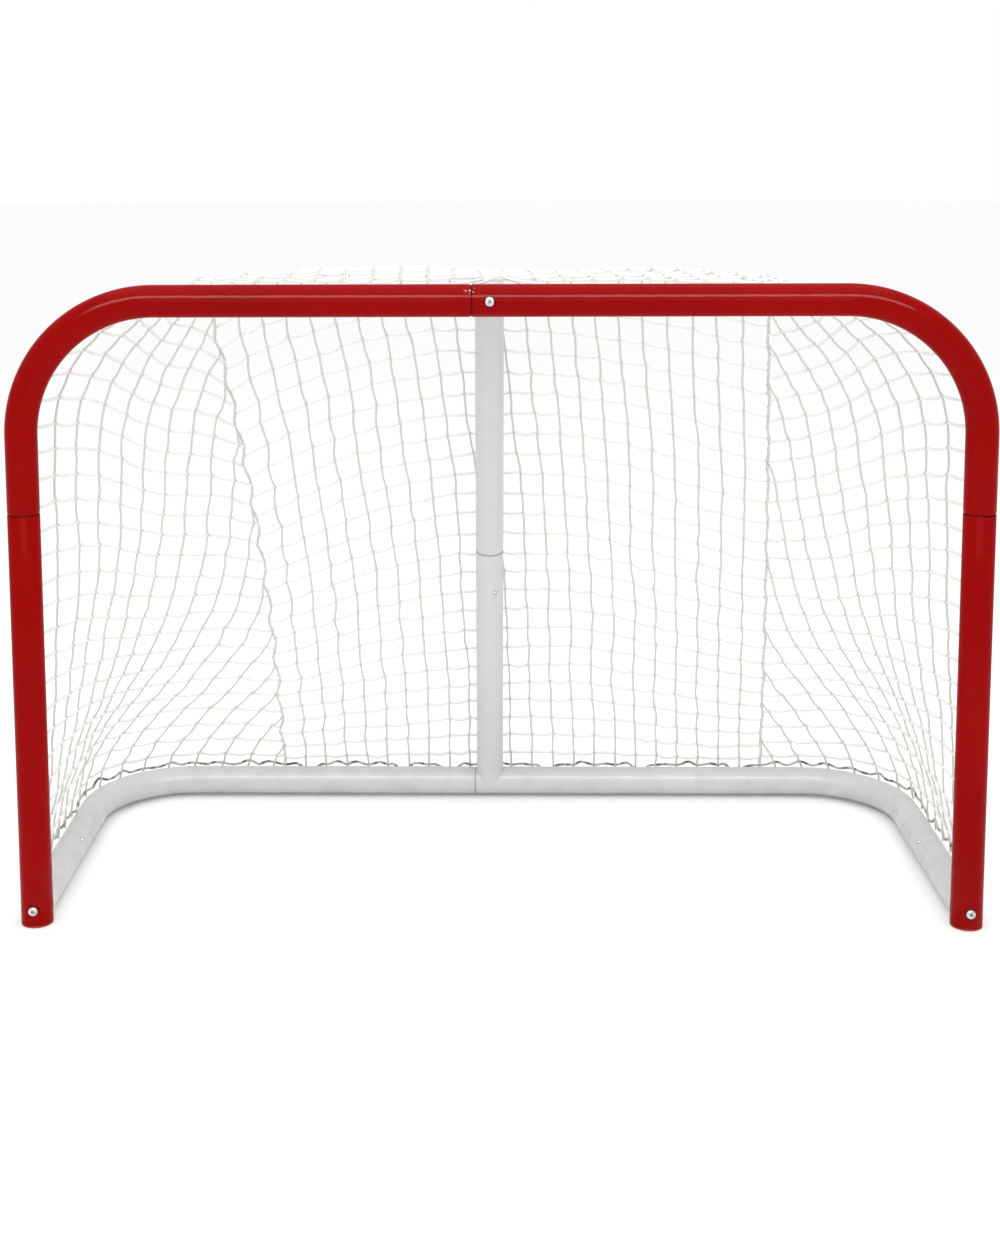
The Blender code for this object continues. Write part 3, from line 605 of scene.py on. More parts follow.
def winding_tree():
    """A cord wound round each line of a graph, whose attribute "out" says where a turn begins."""
    maker, given = geometry_tree(
        "wound_cord",
        [
            ("Winding Radius", "Float", 0.032),
            ("Pitch", "Float", 0.050),
            ("Points per Turn", "Int", 28),
            ("Cord Radius", "Float", 0.0014),
            ("Cord Sides", "Int", 6),
            ("Material", "Material", None),
        ],
    )
    curve = maker.add("GeometryNodeMeshToCurve", {"Mesh": given["Geometry"]})
    step = maker.math("DIVIDE", given["Pitch"], given["Points per Turn"])
    fine = maker.add("GeometryNodeResampleCurve", {"Curve": curve, "Length": step}, mode="LENGTH")
    length = maker.add("GeometryNodeSplineParameter").outputs["Length"]
    turns = maker.math("DIVIDE", length, given["Pitch"])
    angle = maker.math("MULTIPLY", turns, 2 * math.pi)
    cosine, sine = maker.math("COSINE", angle), maker.math("SINE", angle)
    out = maker.vector("NORMALIZE", maker.attribute("out", "FLOAT_VECTOR"))
    up = maker.vector("NORMALIZE", maker.attribute("up", "FLOAT_VECTOR"))
    way = maker.vector("ADD", maker.scaled(out, cosine), maker.scaled(up, sine))
    offset = maker.scaled(way, given["Winding Radius"])
    wound = maker.add("GeometryNodeSetPosition", {"Geometry": fine, "Offset": offset})
    cord = swept(maker, wound, given["Cord Radius"], given["Cord Sides"])
    return close_tree(maker, cord, given["Material"])


def clip_tree():
    """A clip at each point of a graph, turned as its attribute "turn" says."""
    maker, given = geometry_tree(
        "clip_row", [("Clip", "Object", None), ("Material", "Material", None)]
    )
    spots = maker.add("GeometryNodeMeshToPoints", {"Mesh": given["Geometry"]})
    shape = maker.add("GeometryNodeObjectInfo", {"Object": given["Clip"]})
    turn = maker.add("FunctionNodeEulerToRotation", {0: maker.attribute("turn", "FLOAT_VECTOR")})
    clips = maker.add(
        "GeometryNodeInstanceOnPoints",
        {"Points": spots, "Instance": shape.outputs["Geometry"], "Rotation": turn},
    )
    return close_tree(maker, clips, given["Material"])


class Graph:
    """Points joined by edges, with the values that a tree reads at each point."""

    def __init__(self):
        self.points, self.edges, self.upright = [], [], []
        self.values = {}

    def join(self, one, other, upright=0.0):
        self.edges.append((one, other))
        self.upright.append(upright)

    def point(self, place, **values):
        self.points.append(place)
        for name, value in values.items():
            self.values.setdefault(name, {})[len(self.points) - 1] = value
        return len(self.points) - 1

    def line(self, places, upright=0.0, **values):
        """A row of points joined one after another; a value may be a list with one for each."""
        last = None
        for i, place in enumerate(places):
            here = {k: v[i] if isinstance(v, list) else v for k, v in values.items()}
            made = self.point(place, **here)
            if last is not None:
                self.join(last, made, upright)
            last = made

    def grown(self, name, tree, settings):
        """The plain mesh object that a tree makes of this graph."""
        mesh = bpy.data.meshes.new(f"{name}_graph")
        mesh.from_pydata(self.points, self.edges, [])
        for label, values in self.values.items():
            vector = isinstance(next(iter(values.values())), Vector)
            kind, field = ("FLOAT_VECTOR", "vector") if vector else ("FLOAT", "value")
            attribute = mesh.attributes.new(label, kind, "POINT")
            for index, value in values.items():
                setattr(attribute.data[index], field, value)
        if self.edges:
            attribute = mesh.attributes.new("upright", "FLOAT", "EDGE")
            attribute.data.foreach_set("value", self.upright)
        source = placed(f"{name}_graph", mesh)
        modifier = source.modifiers.new(tree.name, "NODES")
        modifier.node_group = tree
        for item in tree.interface.items_tree:
            if item.in_out == "INPUT" and item.name in settings:
                modifier[item.identifier] = settings[item.name]
        grown = plain_mesh(source)
        bpy.data.objects.remove(source)
        grown.name = name
        return placed(name, grown)


# Finishes


def shader(name, colour, roughness, metallic=0.0):
    """A material with a Principled shader, its node maker and the object's coordinates."""
    material = bpy.data.materials.new(name)
    material.use_nodes = True
    maker = NodeMaker(material.node_tree)
    surface = material.node_tree.nodes["Principled BSDF"]
    surface.inputs["Base Color"].default_value = (*colour, 1.0)
    surface.inputs["Roughness"].default_value = roughness
    surface.inputs["Metallic"].default_value = metallic
    where = maker.add("ShaderNodeTexCoord").outputs["Object"]
    return material, maker, surface, where


def noise_at(maker, where, scale, detail=2.0, stretch=(1.0, 1.0, 1.0)):
    at = maker.add("ShaderNodeMapping", {"Vector": where, "Scale": stretch})
    return maker.add("ShaderNodeTexNoise", {"Vector": at, "Scale": scale, "Detail": detail})


def ranged(maker, value, low, high, to_low, to_high):
    return maker.add(
        "ShaderNodeMapRange",
        {"Value": value, "From Min": low, "From Max": high, "To Min": to_low, "To Max": to_high},
    )


def tinted(maker, surface, factor, plain, other):
    """Mixes two colours by a factor into the base colour."""
    mix = maker.add("ShaderNodeMix", {"Factor": factor}, data_type="RGBA")
    maker.feed(mix.inputs[6], plain if isinstance(plain, bpy.types.NodeSocket) else (*plain, 1.0))
    maker.feed(mix.inputs[7], (*other, 1.0))
    maker.feed(surface.inputs["Base Color"], mix.outputs[2])
    return mix.outputs[2]


def bumped(maker, surface, height, strength, distance):
    inputs = {"Height": height, "Strength": strength, "Distance": distance}
    maker.feed(surface.inputs["Normal"], maker.add("ShaderNodeBump", inputs))


def spot_at(maker, where, place, full, none):
    """1 within one distance of an axis along Y through a place, falling to 0 at another."""
    flat = maker.vector("MULTIPLY", where, (1.0, 0.0, 1.0))
    apart = maker.vector("DISTANCE", flat, (place.x, 0.0, place.z)).outputs["Value"]
    return ranged(maker, apart, full, none, 1.0, 0.0)


def seams_of(colour):
    """A point on the axis and the axis' direction at each seam between tubes of a colour."""
    if colour == "red":
        posts = [(Vector((POST_X * side, FRONT_Y, POST_SEAM_Z)), Z) for side in SIDES]
        return posts + [(Vector((SEAM_X, FRONT_Y, BAR_Z)), X)]
    sides = [(Vector((POST_X * side, BASE_SEAM_Y, BASE_Z)), Y) for side in SIDES]
    return sides + [(SUPPORT_SEAM, SLOPE), (Vector((SEAM_X, REAR_Y, BASE_Z)), X)]


def grimy_seams(maker, surface, where, paint, seams, grime):
    """Darkens the paint in a thin line round each seam."""
    for place, axis in seams:
        off = maker.vector("SUBTRACT", where, tuple(place))
        along = maker.vector("DOT_PRODUCT", off, tuple(axis)).outputs["Value"]
        line = ranged(maker, maker.math("ABSOLUTE", along), 0.0007, 0.0021, 0.75, 0.0)
        apart = maker.vector("LENGTH", off).outputs["Value"]
        here = ranged(maker, apart, 0.045, 0.055, 1.0, 0.0)
        paint = tinted(maker, surface, maker.math("MULTIPLY", line, here), paint, grime)
    return paint


def bolt_shade_and_chips(maker, surface, where, paint):
    """Painted shade round the red frame's three bolt heads; chipped paint at the crossbar's seam."""
    heads = [Vector((SUPPORT_X, 0, BAR_Z))]
    heads += [Vector((POST_X * side, 0, BASE_Z)) for side in SIDES]
    for head in heads:
        # A near-black ring round each head: painted shade where the head meets the tube
        rim = spot_at(maker, where, head, 0.0094, 0.0118)
        paint = tinted(maker, surface, rim, paint, (0.03, 0.0, 0.0))
    seam = spot_at(maker, where, Vector((SEAM_X - 0.004, 0, BAR_Z + 0.020)), 0.004, 0.011)
    crumbs = ranged(maker, noise_at(maker, where, 210.0, 2.0), 0.58, 0.62, 0.0, 0.9)
    return tinted(maker, surface, maker.math("MULTIPLY", seam, crumbs), paint, (0.80, 0.70, 0.68))


def powder_coat(name, colour, shade, dust, roughness, coat, gloss, grime, bolted=False):
    """Sprayed and baked paint on steel: a faint orange peel, thin scuffs, dust near the floor."""
    material, maker, surface, where = shader(name, colour, roughness)
    surface.inputs["Coat Weight"].default_value = coat
    surface.inputs["Coat Roughness"].default_value = 0.05
    surface.inputs["Specular IOR Level"].default_value = gloss
    clouds = noise_at(maker, where, 3.2, 3.0)
    thin = ranged(maker, clouds, 0.35, 0.75, 0.0, 1.0)
    paint = tinted(maker, surface, thin, colour, shade)
    # On the red frame: painted shade round the bolt heads, and chipped paint at the seam
    if bolted:
        paint = bolt_shade_and_chips(maker, surface, where, paint)
    seams = seams_of("red" if bolted else "white")
    paint = grimy_seams(maker, surface, where, paint, seams, grime)
    scratches = noise_at(maker, where, 90.0, 4.0, (1.0, 7.0, 0.35))
    scuff = ranged(maker, scratches, 0.70, 0.78, 0.0, 0.5)
    height = maker.add("ShaderNodeSeparateXYZ", {0: where}).outputs["Z"]
    low = ranged(maker, height, 0.0, 0.16, 0.75, 0.0)
    dirt = ranged(maker, noise_at(maker, where, 24.0, 5.0), 0.42, 0.72, 0.0, 0.55)
    soiled = maker.math("MULTIPLY", low, dirt)
    worn = maker.math("MAXIMUM", soiled, maker.math("MULTIPLY", scuff, 0.06))
    tinted(maker, surface, worn, paint, dust)
    rough = noise_at(maker, where, 40.0, 3.0)
    base = ranged(maker, rough, 0.3, 0.7, roughness * 0.85, roughness * 1.2)
    dulled = maker.math("MULTIPLY", worn, 0.5)
    maker.feed(surface.inputs["Roughness"], maker.math("ADD", base, dulled))
    peel = noise_at(maker, where, 420.0, 2.0)
    speck = maker.math("MULTIPLY", noise_at(maker, where, 1500.0, 1.0), 0.25)
    relief = maker.math("ADD", peel, speck)
    relief = maker.math("SUBTRACT", relief, maker.math("MULTIPLY", scuff, 0.6))
    bumped(maker, surface, relief, 0.10, 0.0006)
    return material


def plated_steel(name, colour, dull, roughness):
    """Zinc plating or bright steel: fine turning marks, a patchy bloom, a few dark spots, and painted
    shade inside a bolt's socket.
    """
    material, maker, surface, where = shader(name, colour, roughness, 1.0)
    bloom = noise_at(maker, where, 160.0, 4.0)
    spots = noise_at(maker, where, 620.0, 2.0)
    patchy = ranged(maker, bloom, 0.35, 0.7, 0.0, 0.7)
    dark = ranged(maker, spots, 0.66, 0.72, 0.0, 0.6)
    # Points marked inside a bolt's socket are painted nearly to the dull colour: painted shade
    dark = maker.math("MAXIMUM", dark, maker.math("MULTIPLY", maker.painted("socket_shade"), 0.95))
    tinted(maker, surface, maker.math("MAXIMUM", patchy, dark), colour, dull)
    marks = noise_at(maker, where, 1400.0, 2.0, (1.0, 0.2, 1.0))
    rough = maker.math("ADD", bloom, maker.math("MULTIPLY", marks, 0.4))
    rough = ranged(maker, rough, 0.5, 0.95, 0.7, 1.5)
    maker.feed(surface.inputs["Roughness"], maker.math("MULTIPLY", rough, roughness))
    bumped(maker, surface, maker.math("ADD", marks, spots), 0.16, 0.0002)
    return material


def moulded_plastic(name, colour, shade, roughness):
    """Moulded plastic: a fine grain and faint flow marks."""
    material, maker, surface, where = shader(name, colour, roughness)
    surface.inputs["Specular IOR Level"].default_value = 0.4
    flow = noise_at(maker, where, 45.0, 3.0, (1.0, 1.0, 3.0))
    grain = noise_at(maker, where, 1900.0, 2.0)
    tinted(maker, surface, ranged(maker, flow, 0.35, 0.7, 0.0, 1.0), colour, shade)
    rough = ranged(maker, grain, 0.3, 0.7, roughness * 0.85, roughness * 1.15)
    maker.feed(surface.inputs["Roughness"], rough)
    bumped(maker, surface, grain, 0.22, 0.0003)
    return material


def braided_twine(name, colour, groove_shade, carriers, lay, columns=None, soil=(7.0, 0.8, 0.28)):
    """Braided cord, with the scale, the end and the depth of its soiled patches.

    The crossing carriers follow the cord, and the dips between them are painted darker as shade.
    Where the columns get a darker colour as painted shade, a row takes it close to the columns that
    it crosses, and along two opposite edges of its round as painted shade too.
    """
    material, maker, surface, where = shader(name, colour, 0.82)
    surface.inputs["Sheen Weight"].default_value = 0.15
    surface.inputs["Sheen Roughness"].default_value = 0.5
    surface.inputs["Specular IOR Level"].default_value = 0.22
    part = maker.add("ShaderNodeSeparateXYZ", {0: maker.painted("around", "Vector")})
    angle = maker.math("ARCTAN2", part.outputs["Y"], part.outputs["X"])
    turn = maker.math("MULTIPLY", angle, carriers)
    run = maker.math("MULTIPLY", maker.painted("along"), 2 * math.pi / lay)
    right = maker.math("SINE", maker.math("ADD", run, turn))
    left = maker.math("SINE", maker.math("SUBTRACT", run, turn))
    plaits = ranged(maker, maker.math("MAXIMUM", right, left), -0.3, 1.0, 0.0, 1.0)
    fibre = noise_at(maker, where, 2600.0, 3.0)
    patch, top, most = soil
    dirt = ranged(maker, noise_at(maker, where, patch, 3.0), 0.45, top, 0.0, most)
    # The dips between the plaits are painted darker: painted shade, together with the dirty patches
    shadow = maker.math("SUBTRACT", 1.0, plaits)
    depth = maker.math("MAXIMUM", maker.math("MULTIPLY", shadow, 0.62), dirt)
    yarn = maker.add("ShaderNodeRGB").outputs[0]
    yarn.default_value = (*colour, 1.0)
    if columns:
        # Columns, knots and a row's ends take the darker column colour: painted shade
        end = ranged(maker, maker.painted("tip"), 0.84, 0.92, 0.0, 1.0)
        upright = maker.math("MAXIMUM", maker.painted("upright"), end)
        yarn = tinted(maker, surface, upright, colour, columns)
        level = maker.math("SUBTRACT", 1.0, upright)
        # A row is painted towards the column colour along two opposite edges of its round: painted
        # shade on the row
        edge = ranged(maker, maker.math("ABSOLUTE", part.outputs["Y"]), 0.72, 0.96, 0.0, 0.45)
        yarn = tinted(maker, surface, maker.math("MULTIPLY", edge, level), yarn, columns)
    deep = maker.add("ShaderNodeMix", {"Factor": depth}, data_type="RGBA", blend_type="MULTIPLY")
    maker.feed(deep.inputs[6], yarn)
    maker.feed(deep.inputs[7], (*groove_shade, 1.0))
    maker.feed(surface.inputs["Base Color"], deep.outputs[2])
    relief = maker.math("ADD", plaits, maker.math("MULTIPLY", fibre, 0.35))
    bumped(maker, surface, relief, 0.45, 0.0004)
    return material


def pale_floor(name, colour):
    material, maker, surface, where = shader(name, colour, 0.85)
    surface.inputs["Specular IOR Level"].default_value = 0.1
    wide = noise_at(maker, where, 0.8, 2.0)
    shade = tuple(0.992 * c for c in colour)
    tinted(maker, surface, ranged(maker, wide, 0.4, 0.6, 0.0, 1.0), colour, shade)
    bumped(maker, surface, noise_at(maker, where, 60.0, 3.0), 0.05, 0.0005)
    return material


class Finishes:
    """Each finish of the goal, made once when it is first asked for."""

    makers = {
        "red_tube": lambda s: powder_coat(
            "red_powder_coat",
            s.paint.red,
            shade=(0.228, 0.001, 0.001),
            dust=(0.22, 0.02, 0.02),
            roughness=0.22,
            coat=0.07,
            gloss=0.01,
            grime=(0.05, 0.0, 0.0),
            bolted=True,
        ),
        "white_tube": lambda s: powder_coat(
            "white_powder_coat",
            s.paint.white,
            shade=(0.532, 0.540, 0.540),
            dust=(0.42, 0.41, 0.38),
            roughness=0.40,
            coat=0.10,
            gloss=0.30,
            grime=(0.30, 0.29, 0.27),
        ),
        "zinc_hardware": lambda s: plated_steel(
            "zinc_plated_steel", (0.74, 0.72, 0.70), dull=(0.20, 0.19, 0.19), roughness=0.24
        ),
        "spring_steel": lambda s: plated_steel(
            "spring_steel", (0.42, 0.42, 0.43), dull=(0.20, 0.20, 0.22), roughness=0.34
        ),
        "foot_cap": lambda s: moulded_plastic(
            "red_plastic", (0.34, 0.012, 0.010), shade=(0.26, 0.008, 0.008), roughness=0.45
        ),
        "clip_plastic": lambda s: moulded_plastic(
            "white_plastic", (0.74, 0.74, 0.71), shade=(0.66, 0.66, 0.62), roughness=0.5
        ),
        # The net's columns take a darker colour as painted shade; the dips' colour is painted shade
        # between the plaits
        "net_cord": lambda s: braided_twine(
            "net_twine",
            s.net.colour,
            groove_shade=(0.80, 0.80, 0.77),
            carriers=3.0,
            lay=0.0042,
            columns=s.net.column_shade_colour,
        ),
        # The foot's cord is dark grey with dense dark flecks; the near-black colour of its dips is
        # painted shade between the plaits
        "foot_cord": lambda s: braided_twine(
            "foot_cord",
            (0.66, 0.65, 0.61),
            groove_shade=(0.16, 0.16, 0.15),
            carriers=4.0,
            lay=0.0060,
            soil=(75.0, 0.60, 0.95),
        ),
        "lacing_cord": lambda s: braided_twine(
            "lacing_cord", s.lacing.colour, groove_shade=(0.62, 0.61, 0.56), carriers=4.0, lay=0.0036
        ),
        "floor": lambda s: pale_floor("studio_floor", s.studio.floor),
    }
    made = {}

    @classmethod
    def get(cls, slot):
        if slot not in cls.made:
            cls.made[slot] = cls.makers[slot](bpy.context.scene.hockey_goal)
        return cls.made[slot]


# The frame's tubes


def seat_tube(run, name, finish, node, button=None, **ends):
    """Makes the tube of a run, with the hole for its button where it has one."""
    made = run.tube(name, Finishes.get(finish), **ends)
    if button:
        centre, out, _ = BUTTONS[button]
        drill(made, centre + out * TUBE_RADIUS, out, BUTTON_HOLE_RADIUS, TUBE_RADIUS)
    seat(made, "goal", finish, node)


def half_bar(side, y, z, across, corner_radius):
    """Half the crossbar or the base's rear, to its corner; the left half plugs into the right."""
    if side < 0:
        start = Vector((SEAM_X - FIT_GAP + SLIP_LENGTH, y, z))
        run = TubeRun(start, -X, across, SLIP_RADIUS, SLIP_BORE)
        run.straight(SLIP_LENGTH)
        run.straight(SLIP_TAPER, TUBE_RADIUS - SHOULDER_CHAMFER, BORE_RADIUS)
        run.straight(SHOULDER_LENGTH, TUBE_RADIUS)
    else:
        run = TubeRun(Vector((SEAM_X, y, z)), X, across)
        run.roll_start()
    run.straight(abs((POST_X - corner_radius) * side - run.stations[-1][0].x))
    return run


def make_top_bend(side):
    """Half the crossbar, an upper corner and the reduced end that goes into the post."""
    run = half_bar(side, FRONT_Y, BAR_Z, Y, CORNER_RADIUS)
    run.bend(CORNER_RADIUS, math.pi / 2 * side, 40)
    run.slip_end(run.stations[-1][0].z - POST_SEAM_Z)
    node = f"{SIDES[side]}_top_bend"
    seat_tube(run, f"{node}_tube", "red_tube", node)


def make_lower_post(side):
    """A lower post, from the seam to the foot cap, with the hole for its button."""
    run = TubeRun(Vector((POST_X * side, FRONT_Y, POST_SEAM_Z)), -Z, Y)
    run.roll_start()
    run.straight(run.stations[-1][0].z - POST_FOOT_Z)
    run.roll_end()
    node = f"{SIDES[side]}_lower_post"
    seat_tube(run, f"{node}_tube", "red_tube", node, f"{SIDES[side]}_post")


def make_base_front(side):
    """The front of a base side, cut to the post's round."""
    run = TubeRun(Vector((POST_X * side, FRONT_Y + TUBE_RADIUS, BASE_Z)), Y, Z)
    run.straight(BASE_SEAM_Y - FRONT_Y - TUBE_RADIUS)
    run.roll_end()
    post = (Vector((POST_X * side, FRONT_Y, BASE_Z)), Z)
    node = f"{SIDES[side]}_base_front_tube"
    seat_tube(run, f"{node}_coated", "white_tube", node, f"{SIDES[side]}_base", start_on=post)


def make_base_bend(side):
    """Half the rear of the base, its corner and the reduced end for the front tube."""
    run = half_bar(side, REAR_Y, BASE_Z, Z, BASE_CORNER_RADIUS)
    run.bend(BASE_CORNER_RADIUS, -math.pi / 2 * side, 36)
    run.slip_end(run.stations[-1][0].y - BASE_SEAM_Y)
    node = f"{SIDES[side]}_base_bend"
    seat_tube(run, f"{node}_tube", "white_tube", node)


def make_support():
    """The neck behind the crossbar, its bend and slope, and the lower tube to the base."""
    corner = Vector((SUPPORT_X, NECK_Y, BAR_Z))
    tangent = NECK_CORNER_RADIUS * math.tan(SLOPE_TURN / 2)
    run = TubeRun(Vector((SUPPORT_X, FRONT_Y + TUBE_RADIUS, BAR_Z)), Y, X)
    run.straight(NECK_REACH - TUBE_RADIUS - tangent)
    run.bend(NECK_CORNER_RADIUS, -SLOPE_TURN, 28)
    run.slip_end((SUPPORT_SEAM - corner).length - tangent)
    bar = (Vector((SUPPORT_X, FRONT_Y, BAR_Z)), X)
    seat_tube(run, "upper_support_coated", "white_tube", "upper_support_tube", start_on=bar)

    run = TubeRun(SUPPORT_SEAM, SLOPE, X)
    run.roll_start()
    run.straight((SUPPORT_FOOT - run.stations[-1][0]).length - TUBE_RADIUS)
    rear = (SUPPORT_FOOT, X)
    seat_tube(run, "lower_support_coated", "white_tube", "lower_support_tube", "support", end_on=rear)


def make_foot_cap(side):
    """The flanged plastic plug in a post's lower end, on which the goal stands."""
    plug = BORE_RADIUS - FIT_GAP
    profile = [
        (0, 0.0006),
        (0.012, 0.0006),
        (0.013, 0),
        (TUBE_RADIUS - 0.0011, 0),
        (TUBE_RADIUS - 0.0003, 0.0004),
        (TUBE_RADIUS, 0.0011),
        (TUBE_RADIUS, 0.0024),
        (TUBE_RADIUS - 0.0006, 0.0030),
        (plug, 0.0030),
        (plug, 0.0190),
        (plug - 0.0012, 0.0200),
        (plug - 0.0028, 0.0200),
        (plug - 0.0028, 0.0040),
        (0, 0.0040),
    ]
    node = f"{SIDES[side]}_foot_cap"
    place = Matrix.Translation((POST_X * side, FRONT_Y, 0))
    made = turned(f"{node}_moulded", profile, Finishes.get("foot_cap"), place, TUBE_SIDES)
    seat(made, "goal", "foot_cap", node)


# Hardware


def make_bolt(node, seat_at, inwards, high=HEAD_HEIGHT, depth=SOCKET_DEPTH):
    """A bolt through a whole tube: a domed head with a six-sided socket, and a thread."""
    profile = [(0, BOLT_END), (0.0030, BOLT_END), (BOLT_RADIUS, BOLT_END + 0.0010)]
    for k in range(THREAD_TURNS):
        start = THREAD_START + k * THREAD_PITCH
        profile += [(radius, start + rise) for radius, rise in THREAD_TURN]
    profile += [(BOLT_RADIUS, 0), (HEAD_RADIUS, 0), (HEAD_RADIUS, high * 0.10)]
    for k in range(6):
        a = math.radians(90 * k / 5)
        width = HEAD_RADIUS * (0.985 - 0.27 * (1 - math.cos(a)))
        profile.append((width, high * (0.14 + 0.85 * math.sin(a))))
    profile += [(0.0058, high), (-SOCKET_MOUTH, high), (-SOCKET_REACH, high - 0.0003)]
    profile += [(-SOCKET_REACH, high - depth), (0, high - depth - 0.0003)]
    place = frame_on(seat_at - inwards * (TUBE_RADIUS + FIT_GAP), -inwards, X)
    made = turned(f"{node}_plated", profile, Finishes.get("zinc_hardware"), place, 48, 28)
    mark_socket_shade(made, place, SOCKET_MOUTH + 0.0005, high - 0.0002)
    seat(made, "goal", "zinc_hardware", node)


def mark_socket_shade(piece, place, reach, height):
    """Marks the points inside a socket, where the plating's finish paints shade."""
    back = place.inverted()
    attribute = piece.data.attributes.new("socket_shade", "FLOAT", "POINT")
    for vertex in piece.data.vertices:
        spot = back @ vertex.co
        inside = math.hypot(spot.x, spot.y) < reach and 0 < spot.z < height
        attribute.data[vertex.index].value = float(inside)


def make_bolts():
    make_bolt("crossbar_bolt", Vector((SUPPORT_X, FRONT_Y, BAR_Z)), Y)
    make_bolt("rear_base_bolt", SUPPORT_FOOT, -SLOPE, LOW_HEAD_HEIGHT, LOW_SOCKET_DEPTH)
    for side, word in SIDES.items():
        make_bolt(f"{word}_foot_bolt", Vector((POST_X * side, FRONT_Y, BASE_Z)), Y)


def make_button(name):
    """A sprung button: a domed pin on a flange inside the tube."""
    centre, out, inwards = BUTTONS[name]
    pin, flange = BUTTON_RADIUS, BUTTON_FLANGE_RADIUS
    high = TUBE_RADIUS + BUTTON_RISE - BUTTON_FOOT
    profile = [(0, 0), (flange - 0.0004, 0), (flange, 0.0003), (flange, 0.0010), (pin, 0.0010)]
    for k in range(9):
        a = math.radians(90 * k / 9)
        profile.append((pin * (0.62 + 0.38 * math.cos(a)), high - 0.0017 + 0.0016 * math.sin(a)))
    profile += [(0.0013, high - 0.00004), (0, high)]
    place = frame_on(centre + out * BUTTON_FOOT, out, inwards)
    body = f"{name}_button"
    made = turned(f"{body}_pin", profile, Finishes.get("zinc_hardware"), place, 40)
    seat(made, body, "zinc_hardware", body)


def strip_outline(line, half):
    """The two edges of a strip of even thickness along a line."""
    sides = [[], []]
    for i, point in enumerate(line):
        ahead, behind = line[min(i + 1, len(line) - 1)], line[max(i - 1, 0)]
        run = (ahead - behind).normalized()
        normal = Vector((-run.y, run.x))
        sides[0].append(point + normal * half)
        sides[1].append(point - normal * half)
    return sides[0] + sides[1][::-1]


def make_spring(name):
    """The strip spring under a button, bent to a V, which flattens as the button goes in."""
    centre, out, inwards = BUTTONS[name]
    along = -inwards
    half = SPRING_HALF_THICKNESS
    high, low = SPRING_TOP - half, SPRING_FOOT + half
    line = [Vector((-0.008, high)), Vector((0.006, high)), Vector((0.0085, high - 0.0002))]
    for i in range(13):
        a = math.radians(75 - 12.5 * i)
        reach = SPRING_APEX + SPRING_BEND_RADIUS * math.cos(a)
        line.append(Vector((reach, SPRING_BEND_RADIUS * math.sin(a))))
    line += [Vector((0.014, low + 0.0012)), Vector((0.012, low)), Vector((0.0105, low))]
    line.append(Vector((0.004, low + half)))
    outline = strip_outline(line, half)
    across = out.cross(along)
    rings = [
        [centre + along * p.x + out * p.y + across * edge for p in outline] for edge in SPRING_EDGES
    ]
    node = f"{name}_button_spring"
    made = object_of(f"{node}_strip", skin_rings(rings), Finishes.get("spring_steel"), 40)
    seat(made, "goal", "spring_steel", node)
    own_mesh(made)


def finish_plugs():
    """The threaded plugs are right as they are and get their finish."""
    for node in ("neck_plug", "support_foot_plug", "left_base_plug", "right_base_plug"):
        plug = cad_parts[node]
        plug.data.materials.clear()
        plug.data.materials.append(Finishes.get("zinc_hardware"))


# The net's surface


def along_line(points, share):
    """A point at a share of the length of a row of points."""
    steps = [(b - a).length for a, b in zip(points, points[1:])]
    left = share * sum(steps)
    for a, b, step in zip(points, points[1:], steps):
        if left <= step:
            return a.lerp(b, left / step)
        left -= step
    return points[-1].copy()


def line_length(points):
    return sum((b - a).length for a, b in zip(points, points[1:]))


def arc(centre, start, end, radius, steps=40):
    """Points of a quarter turn from one direction to another."""
    turns = [math.pi / 2 * i / steps for i in range(steps + 1)]
    return [centre + (start * math.cos(a) + end * math.sin(a)) * radius for a in turns]


def front_edge(side, end_x):
    """From the foot of a post, up its back and round the corner, to end_x on the crossbar."""
    y = FRONT_Y + NET_OFF
    corner = Vector(((POST_X - CORNER_RADIUS) * side, y, BAR_Z - CORNER_RADIUS))
    points = [
        Vector(((POST_X + NET_EDGE_OUT) * side, y, NET_EDGE_Z)),
        Vector((POST_X * side, y, NET_FOOT_RISE)),
    ]
    points += arc(corner, X * side, Z, CORNER_RADIUS)
    points.append(Vector((end_x, y, BAR_Z)))
    return points


def base_edge(side, end_x):
    """From behind the post along the outer side of the base, round its corner, to end_x."""
    radius = BASE_CORNER_RADIUS
    corner = Vector(((POST_X - radius) * side, REAR_Y - radius, NET_EDGE_Z))
    points = [Vector(((POST_X + NET_EDGE_OUT) * side, FRONT_Y + NET_OFF, NET_EDGE_Z))]
    points += arc(corner, X * side, Y, radius + NET_EDGE_OUT + 0.0002)
    points.append(Vector((end_x, REAR_Y + NET_EDGE_OUT, NET_EDGE_Z)))
    return points


def roof_corner(side):
    return Vector((NET_TOP_X[side], FRONT_Y + NET_CORNER_REACH, NET_ROOF_Z - NET_CORNER_DROP))


def roof_rear(share):
    """The rear edge of the roof, from the left corner over the support to the right one."""
    point = roof_corner(-1).lerp(roof_corner(1), share)
    rise = math.sin(math.pi * share)
    point.y += rise * (NET_ROOF_REACH - NET_CORNER_REACH)
    point.z += rise * (NET_CORNER_DROP - NET_ROOF_DROP)
    return point


def seam_line(side, share):
    """The edge between side and back, from the base up to the roof's corner."""
    foot = base_edge(side, NET_FOOT_X[side])[-1]
    point = foot.lerp(roof_corner(side), share)
    point.y += NET_SIDE_BULGE * math.sin(math.pi * share)
    point.x += NET_SEAM_BOW[side] * math.sin(math.pi * share)
    return point


def seam_kink(side, share):
    """How far a seam steps aside, once in every two rows of the net."""
    turn = share * NET_SEAM_KINKS % 1
    step = 1 - 4 * abs(turn - 0.5)
    return NET_SEAM_KINK[side] * step * min(1, 12 * share, 12 * (1 - share))


